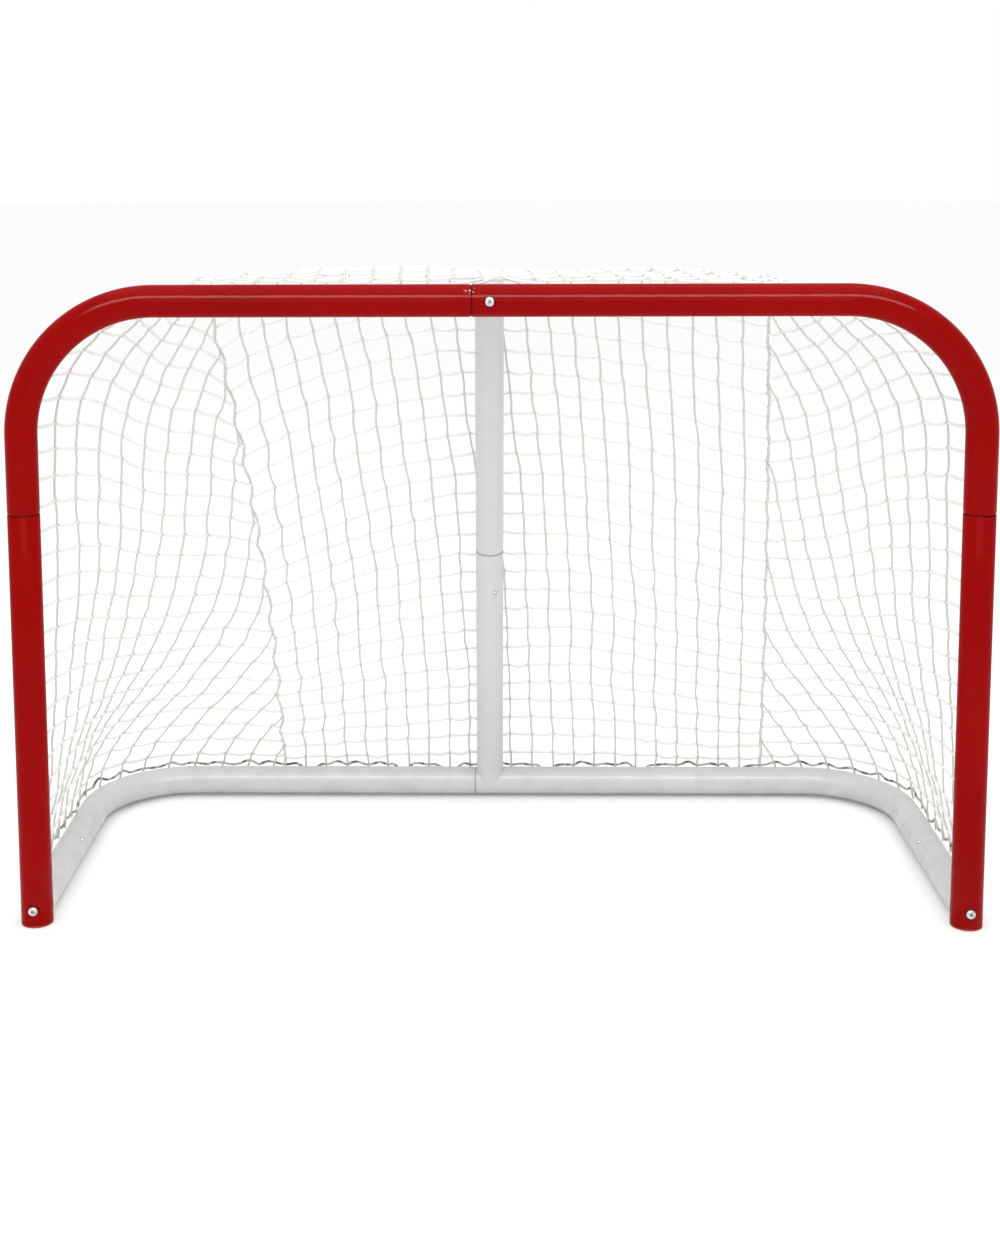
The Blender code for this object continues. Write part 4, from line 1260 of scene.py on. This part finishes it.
def coons(low, high, near, far, u, v):
    """A surface between four edges; low and high run with u, near and far with v."""
    ruled = low(u).lerp(high(u), v) + near(v).lerp(far(v), u)
    flat = low(0).lerp(low(1), u).lerp(high(0).lerp(high(1), u), v)
    return ruled - flat


def back_surface(u, v):
    """The back of the net, from the base at v 0 to the roof's rear edge at v 1."""
    left_foot, right_foot = seam_line(-1, 0), seam_line(1, 0)
    point = coons(
        lambda s: left_foot.lerp(right_foot, s),
        roof_rear,
        lambda s: seam_line(-1, s),
        lambda s: seam_line(1, s),
        u,
        v,
    )
    point.y += NET_BACK_BULGE * math.sin(math.pi * u) * math.sin(math.pi * v)
    point.x += PANEL_GAP * (1 - 2 * u)
    point.x += seam_kink(-1, v) * (1 - u) ** 6 + seam_kink(1, v) * u**6
    return point


def roof_surface(u, v):
    """The roof of the net, from the crossbar at v 0 to its rear edge at v 1."""
    start = Vector((NET_CROSSBAR_START * (2 * u - 1), FRONT_Y + NET_OFF, BAR_Z))
    point = start.lerp(roof_rear(u), v)
    over_neck = max(0, 1 - abs(u - 0.5) * 10) * max(0, 1 - v * 4)
    rows_in = min(min(v, 1 - v) * 4, 1)
    point.z += NET_OVER_NECK * over_neck
    point.z += NET_LIFT * rows_in * (1 - abs(2 * u - 1) ** 4)
    point.x += PANEL_GAP * (1 - 2 * u)
    return point


def side_surface(side):
    """The surface of a side net, from the post at u 0 to the seam at u 1."""
    front = front_edge(side, (NET_CROSSBAR_START + 2 * PANEL_GAP) * side)
    base = base_edge(side, NET_FOOT_X[side])

    def surface(u, v):
        point = along_line(front, v).lerp(seam_line(side, v), u)
        rounding = along_line(base, u) - base[0].lerp(base[-1], u)
        point += rounding * math.exp(-((v / NET_ROUND_FADE_SHARE) ** 2))
        bulge = NET_SIDE_BULGE * math.sin(math.pi * u) * math.sin(math.pi * v)
        point.x += (bulge + PANEL_GAP * u**4) * side
        point.x += seam_kink(side, v) * u**4
        return point

    return surface


def drifted(point, amount, luck):
    """A knot's place, moved a little as in a net that has been tied and hung by hand."""
    slow = noise.noise_vector(point * 4.3 + Vector((3.1, 7.7, 1.9)))
    quick = Vector((luck.uniform(-1, 1), luck.uniform(-1, 1), luck.uniform(-1, 1)))
    return point + (slow * 1.6 + quick * 0.45) * amount


def back_columns(net):
    return round((roof_corner(1) - roof_corner(-1)).length / net.mesh)


def near_neck(place):
    """Whether a knot lies on the support's neck, where the net can't hang or stray."""
    beside = abs(place.x - SUPPORT_X)
    return beside < NECK_HALF_WIDTH and place.y < NECK_REAR_Y and place.z > NECK_BOTTOM_Z


def back_and_roof_graph(net):
    """Knots and strands of the panel that runs from the crossbar over the fold to the base."""
    luck = random.Random(net.seed)
    graph = Graph()
    columns = back_columns(net)
    paths = []
    for c in range(columns + 1):
        u = c / columns
        path = [roof_surface(u, i / 60) for i in range(61)]
        path += [back_surface(u, 1 - i / 90) for i in range(1, 91)]
        paths.append(path)
    rows = round((line_length(paths[columns // 2]) + net.spare) / net.mesh)
    index = {}
    for c, path in enumerate(paths):
        edge_of = min(c, columns - c)
        whole = line_length(path)
        # Rows hang at even steps from the crossbar and crowd where the spare length settles
        spare = net.mesh * rows - whole
        for r in range(rows + 1):
            share = r / rows
            down = net.mesh * r - spare * share**3
            # They dip towards both seams on the back, and more so beside the left one
            low = max(share - 0.3, 0.0) / 0.7
            down += NET_SEAM_DIP * math.exp(-((edge_of / 6) ** 2)) * math.sin(math.pi * low)
            down += NET_SEAM_DIP * math.exp(-c / 2) * math.sin(math.pi * share**0.6)
            place = along_line(path, down / whole)
            free = min(edge_of, r, rows - r)
            by_neck = near_neck(place)
            if free > 0:
                amount = net.drift * min(1.0, free / 2) * (0.25 if by_neck else 1.0)
                place = drifted(place, amount, luck)
            index[c, r] = graph.point(
                place,
                slack=0.12 if by_neck else (1.0 if free > 0 else 0.5),
                knot=1.0 if free > 0 else 0.0,
                facing=Y if share > 0.25 else Z,
            )
    for c, r in index:
        if c < columns and 0 < r < rows:
            graph.join(index[c, r], index[c + 1, r])
        if r < rows and 0 < c < columns:
            graph.join(index[c, r], index[c, r + 1], 1.0)
    return graph


def share_at(wanted, count):
    """Where a falling count of cells reaches a wanted number, from 0 to 1."""
    low, high = 0.0, 1.0
    for _ in range(40):
        mid = (low + high) / 2
        if count(mid) > wanted:
            low = mid
        else:
            high = mid
    return low


def side_graph(side, net):
    """Knots and strands of a side, whose cells keep their size as the panel narrows."""
    luck = random.Random(net.seed + 11 + side)
    surface = side_surface(side)
    steps = 24
    grid = [[surface(i / steps, j / steps) for j in range(steps + 1)] for i in range(steps + 1)]
    widths = [line_length([grid[i][j] for i in range(steps + 1)]) for j in range(steps + 1)]
    heights = [line_length(grid[i]) for i in range(steps + 1)]

    def table(values, share):
        at = min(max(share, 0.0), 1.0) * steps
        i = min(int(at), steps - 1)
        return values[i] + (values[i + 1] - values[i]) * (at - i)

    def across(v):
        return table(widths, v) / (net.mesh * net.side_stretch) + NET_FIRST_CELL

    def up(u):
        return (table(heights, u) + net.side_spare * u * u) / net.mesh

    def height_at(q, u):
        """Rows hang from the top at even steps, and the spare length settles low at the seam."""
        count = up(u)
        from_top = max(count - q, 0.0)
        spare = net.side_spare * u * u
        return 1 - (net.mesh * from_top - spare * (from_top / count) ** 3) / table(heights, u)

    def column_at(p, v):
        """The first column runs close behind the post, the others at even steps from it."""
        return max(p - NET_FIRST_CELL, 0.0) / (across(v) - NET_FIRST_CELL)

    places = {}
    for q in range(math.ceil(max(heights) / net.mesh) + 1):
        for p in range(math.ceil(max(widths) / net.mesh) + 1):
            u, v = 0.0, q / up(0)
            for _ in range(40):
                u = min(column_at(p, v), 1.2)
                v = height_at(q, min(u, 1.0))
            if u <= 1 and q <= up(u):
                places[p, q] = (u, v)
    graph = Graph()
    index = {}
    for (p, q), (u, v) in places.items():
        place = surface(u, v)
        inner = min(u, 1 - u) * across(v), min(v, 1 - v) * up(u)
        free = min(p, q, *inner)
        if free > 0.3:
            place = drifted(place, net.drift * min(1.0, free / 2), luck)
        knot = 1.0 if p and q else 0.0
        index[p, q] = graph.point(place, slack=1.0, knot=knot, facing=X * side)

    def tie_off(key, u, v, upright=0.0):
        """Runs a thread from its last knot to the panel's edge."""
        place = surface(u, v)
        if (graph.points[index[key]] - place).length < net.mesh * 0.25:
            graph.points[index[key]] = place
            return
        end = graph.point(place, slack=0.4, knot=0.0, facing=X * side)
        graph.join(index[key], end, upright)

    for (p, q), made in index.items():
        if q and (p + 1, q) in index:
            graph.join(made, index[p + 1, q])
        elif q:
            if q <= up(1):
                tie_off((p, q), 1.0, height_at(q, 1.0))
            else:
                tie_off((p, q), share_at(q, up), 1.0)
        if p and (p, q + 1) in index:
            graph.join(made, index[p, q + 1], 1.0)
        elif p:
            if p <= across(1):
                tie_off((p, q), column_at(p, 1), 1.0, 1.0)
            else:
                tie_off((p, q), 1.0, share_at(p, across), 1.0)
    return graph


def make_nets(net):
    """The back and roof in one piece, and a piece for each side."""
    # Without it the slow drift would follow the clock and differ from run to run
    noise.seed_set(net.seed)
    tree = net_tree()
    settings = {
        "Twine Radius": net.twine / 2,
        "Twine Sides": 6,
        "Row Thickness": net.row_thickness,
        "Points per Strand": 5,
        "Sag": net.sag,
        "Wave": net.wave,
        "Wave Size": 34.0,
        "Knot Length": net.knot / 2,
        "Seed": net.seed,
        "Material": Finishes.get("net_cord"),
    }
    main = back_and_roof_graph(net).grown("back_and_roof_net", tree, settings)
    seat(main, "goal", "net_cord", "back_net", "roof_net")
    for side, word in SIDES.items():
        panel = side_graph(side, net).grown(f"{word}_netting", tree, settings)
        seat(panel, "goal", "net_cord", f"{word}_side_net")


def crossbar_line():
    """The net's edge behind the crossbar, which climbs over the neck."""
    return [roof_surface(i / 120, 0) for i in range(121)]


def seam_path(side, of_side):
    """A panel's edge along a seam, from the base over the roof's corner to the crossbar."""
    surface = side_surface(side)
    u = 0.0 if side < 0 else 1.0
    if of_side:
        path = [surface(1, i / 60) for i in range(61)]
        return path + [surface(1 - i / 14, 1) for i in range(1, 15)]
    path = [back_surface(u, i / 60) for i in range(61)]
    return path + [roof_surface(u, 1 - i / 14) for i in range(1, 15)]


def make_borders(net):
    """The stouter cords that edge each panel."""
    graph = Graph()
    ends = NET_CROSSBAR_START + 2 * PANEL_GAP
    rim = front_edge(-1, -ends) + crossbar_line() + front_edge(1, ends)[::-1]
    graph.line(rim, thick=1.0)
    lay_cord("net_rim", graph, net.border, 0.0006, "net_cord")
    graph = Graph()
    for side in SIDES:
        for of_side in (True, False):
            graph.line(seam_path(side, of_side), 1.0, thick=1.0)
    lay_cord("net_seam_edges", graph, net.seam_cord, 0.0003, "net_cord")


def lay_cord(name, graph, thickness, wave, finish):
    """Lays a cord along each line of a graph."""
    settings = {
        "Cord Radius": thickness / 2,
        "Cord Sides": 8,
        "Wave": wave,
        "Wave Size": 45.0,
        "Material": Finishes.get(finish),
    }
    seat(graph.grown(name, cord_tree(), settings), "goal", "net_cord")


def held_places(net):
    """Where along the net's foot a column or a clip holds its cord, and how high above the edge."""
    line = foot_line()
    marks, whole = [], 0.0
    for one, other in zip(line, line[1:]):
        marks.append((whole, one, other))
        whole += (other - one).length
    places = []
    for side in SIDES:
        edge = base_edge(side, NET_FOOT_X[side])
        count = round(line_length(edge) / (net.mesh * net.side_stretch))
        places += [(along_line(edge, i / count), net.arch * 0.8) for i in range(1, count + 1)]
    left, right = (base_edge(side, NET_FOOT_X[side])[-1] for side in SIDES)
    columns = back_columns(net)
    places += [(left.lerp(right, i / columns), net.arch * 0.8) for i in range(1, columns)]
    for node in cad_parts:
        if "rear_clip_" in node or "_base_clip_" in node:
            place, run, out = clip_seat(node)
            ends = (-CLIP_GRIP, CLIP_GRIP)
            places += [(place + out * NET_OFF + run * end, 0.0) for end in ends]
    held = [(0.0, 0.0), (whole, 0.0)]
    for place, rise in places:
        nearest = min(marks, key=lambda mark: gap_to(place, mark[1], mark[2])[0])
        held.append((nearest[0] + gap_to(place, nearest[1], nearest[2])[1], rise))
    clips = [at for at, rise in held if not rise]
    clear = 2 * CLIP_HALF_LENGTH
    held = [(at, rise) for at, rise in held if not rise or min(abs(at - c) for c in clips) > clear]
    return sorted(held), line


def gap_to(place, one, other):
    """How far a place is from a straight piece, and how far along the piece."""
    run = other - one
    share = min(max((place - one).dot(run) / run.length_squared, 0.0), 1.0)
    return (one + run * share - place).length, run.length * share


def foot_line():
    """The net's foot from one post round the base to the other."""
    return base_edge(-1, 0.0) + base_edge(1, 0.0)[-2::-1]


def make_foot_cord(net):
    """The cord along the net's foot, which arches up and swells wherever no clip grips it."""
    luck = random.Random(net.seed + 40)
    held, line = held_places(net)
    whole = line_length(line)
    steps = 10
    points, thick = [], []
    for (low, start), (high, end) in zip(held, held[1:]):
        in_one_clip = not start and not end and high - low < 2 * CLIP_GRIP + 0.002
        rise = 0.0 if in_one_clip else min(luck.uniform(0.03, 0.22) * (high - low), net.arch)
        lean = luck.uniform(0.35, 0.65)
        for i in range(steps):
            share = i / steps
            bent = share ** (math.log(0.5) / math.log(lean))
            lift = start + (end - start) * (3 - 2 * share) * share * share
            lift += rise * math.sin(math.pi * bent) ** 2
            points.append(along_line(line, (low + (high - low) * share) / whole) + Z * lift)
            thick.append(1.0 + net.spread * min(lift / FULL_SPREAD_LIFT, 1.0))
    points.append(line[-1])
    thick.append(1.0)
    graph = Graph()
    graph.line(points, thick=thick)
    lay_cord("net_foot_cord", graph, net.border, 0.0003, "foot_cord")


def make_seam_lacing(net, lacing):
    """The cord that joins side and back, wound round both of their edges."""
    graph = Graph()
    for side in SIDES:
        one, other = seam_path(side, True), seam_path(side, False)
        line = [a.lerp(b, 0.5) for a, b in zip(one, other)]
        outs = [(a - b).normalized() for a, b in zip(one, other)]
        ups = []
        for i, out in enumerate(outs):
            run = (line[min(i + 1, len(line) - 1)] - line[max(i - 1, 0)]).normalized()
            ups.append(run.cross(out).normalized())
        graph.line(line, out=outs, up=ups)
    settings = {
        "Winding Radius": PANEL_GAP + net.seam_cord / 2 + lacing.cord / 2,
        "Pitch": lacing.pitch,
        "Points per Turn": 14,
        "Cord Radius": lacing.cord / 2,
        "Cord Sides": 6,
        "Material": Finishes.get("lacing_cord"),
    }
    seat(graph.grown("seam_lacing", winding_tree(), settings), "goal", "net_cord")


# Clips


def clip_shape():
    """One plastic hook, modelled along +X, with +Y away from the tube that it is on."""
    outer = CLIP_BORE + CLIP_WALL
    foot = TUBE_RADIUS + FIT_GAP

    def bow(radius, first, step, count):
        angles = [math.radians(first + step * k) for k in range(count)]
        return [(radius * math.cos(a), NET_OFF + radius * math.sin(a)) for a in angles]

    outline = [(-outer, foot), (outer, foot), (outer, NET_OFF - CLIP_HALF_MOUTH)]
    outline.append((CLIP_BORE, NET_OFF - CLIP_HALF_MOUTH))
    outline += bow(CLIP_BORE, -30, -15, 17)
    outline += [(CLIP_BORE, NET_OFF + CLIP_HALF_MOUTH), (outer, NET_OFF + CLIP_HALF_MOUTH)]
    outline += bow(outer, 18, 18, 9)
    ends = (-CLIP_HALF_LENGTH, CLIP_HALF_LENGTH)
    form = skin_rings([[Vector((end, y, x)) for x, y in outline] for end in ends])
    return object_of("clip_shape", form, Finishes.get("clip_plastic"), 30)


def clip_seat(node):
    """Where a clip sits on its tube's axis, the way the net's edge runs there, and the way out."""
    place = middle(node)
    side = -1 if place.x < 0 else 1
    corner = Vector(((POST_X - CORNER_RADIUS) * side, FRONT_Y, BAR_Z - CORNER_RADIUS))
    across, rise = math.cos(NET_EDGE_HEIGHT), Z * math.sin(NET_EDGE_HEIGHT)
    if "rear_clip_" in node:
        return Vector((place.x, REAR_Y, BASE_Z)), -X, Y * across + rise
    if "_base_clip_" in node:
        return Vector((POST_X * side, place.y, BASE_Z)), Y * side, X * (side * across) + rise
    place.y = FRONT_Y
    if "_post_clip_" not in node:
        return place, X, Y
    if place.z > corner.z:
        return place, (place - corner).cross(Y).normalized(), Y
    if place.z < NET_FOOT_RISE:
        edge = front_edge(side, 0.0)
        return place, (edge[1] - edge[0]).normalized(), Y
    return place, Z, Y


def make_clips():
    """The clips behind the tubes, each where its solid is."""
    graph = Graph()
    nodes = sorted(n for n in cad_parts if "_clip_" in n)
    for node in nodes:
        place, run, out = clip_seat(node)
        turn = Matrix((run, out, run.cross(out))).transposed().to_euler()
        graph.point(place, turn=Vector(turn))
    shape = clip_shape()
    settings = {"Clip": shape, "Material": Finishes.get("clip_plastic")}
    made = graph.grown("net_clips", clip_tree(), settings)
    bpy.data.objects.remove(shape)
    seat(made, "goal", "clip_plastic", *nodes)


# The studio


def area_light(name, place, target, width, height, power):
    light = bpy.data.lights.new(name, "AREA")
    light.shape = "RECTANGLE"
    light.size, light.size_y = width, height
    light.energy = power
    made = placed(name, light)
    aim = (Vector(target) - Vector(place)).to_track_quat("-Z", "Y")
    made.matrix_world = Matrix.Translation(place) @ aim.to_matrix().to_4x4()
    return made


def make_floor():
    """A flat pale floor that runs to the horizon of every view."""
    form = bmesh.new()
    sides, z = 96, -0.0001
    rings = [[form.verts.new((0, 0, z))] * sides]
    for radius in (3.0, 12.0, 60.0):
        spots = [(radius * math.cos(a), radius * math.sin(a), z) for a in angles_round(sides)]
        rings.append([form.verts.new(spot) for spot in spots])
    for low, high in zip(rings, rings[1:]):
        for i in range(sides):
            j = (i + 1) % sides
            form.faces.new(list(dict.fromkeys((low[i], high[i], high[j], low[j]))))
    floor = object_of("studio_floor", form, Finishes.get("floor"), 180)


def make_studio(studio):
    make_floor()
    world = bpy.data.worlds.new("studio_world")
    world.use_nodes = True
    world.node_tree.nodes["Background"].inputs["Color"].default_value = (1.0, 1.0, 1.0, 1.0)
    world.node_tree.nodes["Background"].inputs["Strength"].default_value = studio.surround
    bpy.context.scene.world = world
    area_light("softbox_above", (0, -0.4, 4.2), (0, 0, 0.4), 5.0, 4.0, studio.above)
    area_light("softbox_in_front", (0, -4.2, 2.0), (0, 0, 0.6), 3.0, 2.0, studio.front)
    gloss = area_light("gloss_strip", (0, -2.9, 3.0), (0, FRONT_Y, BAR_Z), 5.0, 0.8, studio.gloss)
    gloss.visible_diffuse = False

    camera = bpy.data.cameras.new("camera")
    camera.sensor_fit = "AUTO"
    camera.sensor_width = 36.0
    camera.lens = studio.lens
    camera.shift_x = studio.shift_right
    camera.shift_y = studio.shift_up
    camera.clip_end = 200.0
    made = placed("camera", camera)
    made.matrix_world = (
        Matrix.Translation(studio.camera)
        @ Matrix.Rotation(studio.yaw, 4, "Z")
        @ Matrix.Rotation(math.pi / 2 - studio.pitch, 4, "X")
        @ Matrix.Rotation(studio.roll, 4, "Z")
    )
    bpy.context.scene.camera = made
    bpy.context.scene.view_settings.view_transform = "Standard"


# Settings


def colour_setting(label, about, default):
    return FloatVectorProperty(
        name=label, description=about, subtype="COLOR", size=3, min=0.0, max=1.0, default=default
    )


def length_setting(label, about, default, low, high):
    return FloatProperty(
        name=label, description=about, default=default, min=low, max=high, unit="LENGTH"
    )


def share_setting(label, about, default, low, high):
    return FloatProperty(name=label, description=about, default=default, min=low, max=high)


def angle_setting(label, about, degrees):
    return FloatProperty(
        name=label, description=about, default=math.radians(degrees), unit="ROTATION"
    )


def power_setting(label, about, default):
    return FloatProperty(name=label, description=about, default=default, min=0.0, unit="POWER")


class GoalPaintSettings(bpy.types.PropertyGroup):
    red: colour_setting("Red", "Colour of the front frame's powder coat", (0.266, 0.001, 0.001))
    white: colour_setting(
        "White", "Colour of the base's and the support's powder coat", (0.566, 0.574, 0.574)
    )


class GoalNetSettings(bpy.types.PropertyGroup):
    mesh: length_setting("Mesh", "Length of a strand from knot to knot", 0.050, 0.02, 0.12)
    twine: length_setting("Twine", "Thickness of the net's twine", 0.0046, 0.001, 0.006)
    row_thickness: share_setting(
        "Row thickness", "Thickness of a row's strands against a column's", 1.45, 0.5, 2.0
    )
    knot: length_setting("Knot", "Length of a knot", 0.0076, 0.002, 0.02)
    side_stretch: share_setting(
        "Side stretch", "Width of a side's cells against their height", 1.22, 0.5, 2.0
    )
    border: length_setting(
        "Edge cord", "Thickness of the cord that edges each panel", 0.0040, 0.001, 0.0040
    )
    seam_cord: length_setting(
        "Seam cord", "Thickness of the cord that edges a panel at a seam", 0.0024, 0.001, 0.0040
    )
    spare: length_setting(
        "Spare length",
        "How much longer the back's middle column is than its way over the frame",
        0.085,
        0.0,
        0.5,
    )
    side_spare: length_setting(
        "Side's spare length",
        "How much longer a side's column at the seam is than its way",
        0.11,
        0.0,
        0.5,
    )
    arch: length_setting(
        "Arch", "How high the foot's cord may rise between two columns", 0.0125, 0.0, 0.03
    )
    spread: share_setting(
        "Spread",
        "How much thicker the foot's cord is between its clips, as a share",
        0.5,
        0.0,
        1.0,
    )
    sag: length_setting(
        "Sag", "How far the middle of a slack strand hangs down", 0.0045, 0.0, 0.02
    )
    wave: length_setting(
        "Wave", "How far a strand strays from its straight line", 0.0019, 0.0, 0.02
    )
    drift: length_setting("Drift", "How far a knot strays from its even place", 0.0048, 0.0, 0.02)
    colour: colour_setting("Colour", "Colour of the net's twine", (0.86, 0.86, 0.85))
    # The columns' darker colour is painted shade, which also spreads onto the knots and a row's ends
    column_shade_colour: colour_setting(
        "Column colour",
        "Colour of the strands that run up and down, painted darker as shade",
        (0.64, 0.64, 0.60),
    )
    seed: IntProperty(
        name="Seed", description="Changes where the net hangs slack", default=4, min=1
    )


class GoalLacingSettings(bpy.types.PropertyGroup):
    cord: length_setting("Cord", "Thickness of the lacing", 0.0016, 0.001, 0.003)
    pitch: length_setting("Pitch", "From one turn round a seam to the next", 0.050, 0.01, 0.1)
    colour: colour_setting("Colour", "Colour of the lacing", (0.74, 0.72, 0.65))


class GoalStudioSettings(bpy.types.PropertyGroup):
    camera: FloatVectorProperty(
        name="Camera",
        description="Place of the camera",
        subtype="TRANSLATION",
        size=3,
        default=(-0.022, -3.258 + FRONT_Y, 1.444),
    )
    yaw: angle_setting("Yaw", "How far the camera is turned to the left", 0.91)
    pitch: angle_setting("Pitch", "How far the camera looks down", 7.21)
    roll: angle_setting("Roll", "How far the camera leans", -0.20)
    lens: FloatProperty(
        name="Lens",
        description="Focal length on a 36 mm sensor",
        default=51.54,
        min=10.0,
        max=300.0,
        unit="CAMERA",
    )
    shift_right: FloatProperty(
        name="Shift right", description="Shift of the lens to the right", default=0.0325
    )
    shift_up: FloatProperty(
        name="Shift up", description="Shift of the lens upwards", default=-0.1908
    )
    surround: FloatProperty(
        name="Surround", description="Strength of the light from all round", default=1.0, min=0.0
    )
    above: power_setting("Above", "Power of the softbox above", 85.0)
    front: power_setting("Front", "Power of the softbox in front", 26.0)
    gloss: power_setting("Gloss", "Power of the strip that only shows in the paint's gloss", 320.0)
    floor: colour_setting("Floor", "Colour of the floor", (0.97, 0.97, 0.97))


class GoalSettings(bpy.types.PropertyGroup):
    paint: PointerProperty(type=GoalPaintSettings)
    net: PointerProperty(type=GoalNetSettings)
    lacing: PointerProperty(type=GoalLacingSettings)
    studio: PointerProperty(type=GoalStudioSettings)


# Operators


class GOAL_OT_red_tubes(bpy.types.Operator):
    """Make the red front frame: two top bends and two lower posts"""

    bl_idname = "goal.red_tubes"
    bl_label = "Red tubes"

    def execute(self, context):
        for side in SIDES:
            make_top_bend(side)
            make_lower_post(side)
        return {"FINISHED"}


class GOAL_OT_white_tubes(bpy.types.Operator):
    """Make the white base and the white rear support"""

    bl_idname = "goal.white_tubes"
    bl_label = "White tubes"

    def execute(self, context):
        for side in SIDES:
            make_base_front(side)
            make_base_bend(side)
        make_support()
        return {"FINISHED"}


class GOAL_OT_foot_caps(bpy.types.Operator):
    """Make the plastic caps that the posts stand on"""

    bl_idname = "goal.foot_caps"
    bl_label = "Foot caps"

    def execute(self, context):
        for side in SIDES:
            make_foot_cap(side)
        return {"FINISHED"}


class GOAL_OT_bolts(bpy.types.Operator):
    """Make the four bolts and finish the plugs that they draw in"""

    bl_idname = "goal.bolts"
    bl_label = "Bolts and plugs"

    def execute(self, context):
        make_bolts()
        finish_plugs()
        return {"FINISHED"}


class GOAL_OT_buttons(bpy.types.Operator):
    """Make the five sprung buttons and their strip springs"""

    bl_idname = "goal.buttons"
    bl_label = "Buttons and springs"

    def execute(self, context):
        for name in BUTTONS:
            make_button(name)
            make_spring(name)
        return {"FINISHED"}


class GOAL_OT_net(bpy.types.Operator):
    """Make the knotted net and the cords that edge its panels"""

    bl_idname = "goal.net"
    bl_label = "Net"

    def execute(self, context):
        net = context.scene.hockey_goal.net
        make_nets(net)
        make_borders(net)
        make_foot_cord(net)
        return {"FINISHED"}


class GOAL_OT_lacing(bpy.types.Operator):
    """Make the lacing that joins the sides to the back"""

    bl_idname = "goal.lacing"
    bl_label = "Lacing"

    def execute(self, context):
        settings = context.scene.hockey_goal
        make_seam_lacing(settings.net, settings.lacing)
        return {"FINISHED"}


class GOAL_OT_clips(bpy.types.Operator):
    """Make the clips that hold the net behind the red tubes and the base"""

    bl_idname = "goal.clips"
    bl_label = "Clips"

    def execute(self, context):
        make_clips()
        return {"FINISHED"}


class GOAL_OT_studio(bpy.types.Operator):
    """Make the floor, the lights and the camera"""

    bl_idname = "goal.studio"
    bl_label = "Studio"

    def execute(self, context):
        make_studio(context.scene.hockey_goal.studio)
        return {"FINISHED"}


STEPS = (
    GOAL_OT_red_tubes,
    GOAL_OT_white_tubes,
    GOAL_OT_foot_caps,
    GOAL_OT_bolts,
    GOAL_OT_buttons,
    GOAL_OT_net,
    GOAL_OT_lacing,
    GOAL_OT_clips,
    GOAL_OT_studio,
)


class GOAL_PT_panel(bpy.types.Panel):
    """The steps and settings of the hockey goal"""

    bl_idname = "GOAL_PT_panel"
    bl_label = "Hockey goal"
    bl_space_type = "VIEW_3D"
    bl_region_type = "UI"
    bl_category = "Hockey goal"

    def draw(self, context):
        for step in STEPS:
            self.layout.operator(step.bl_idname)
        settings = context.scene.hockey_goal
        for group in (settings.paint, settings.net, settings.lacing, settings.studio):
            box = self.layout.box()
            for name in group.bl_rna.properties.keys():
                if name not in ("rna_type", "name"):
                    box.prop(group, name)


CLASSES = (
    GoalPaintSettings,
    GoalNetSettings,
    GoalLacingSettings,
    GoalStudioSettings,
    GoalSettings,
    *STEPS,
    GOAL_PT_panel,
)


def register():
    for item in CLASSES:
        bpy.utils.register_class(item)
    bpy.types.Scene.hockey_goal = PointerProperty(type=GoalSettings)


def unregister():
    del bpy.types.Scene.hockey_goal
    for item in reversed(CLASSES):
        bpy.utils.unregister_class(item)


def main():
    register()
    for step in STEPS:
        group, name = step.bl_idname.split(".")
        getattr(getattr(bpy.ops, group), name)()
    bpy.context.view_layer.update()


if __name__ == "__main__":
    main()
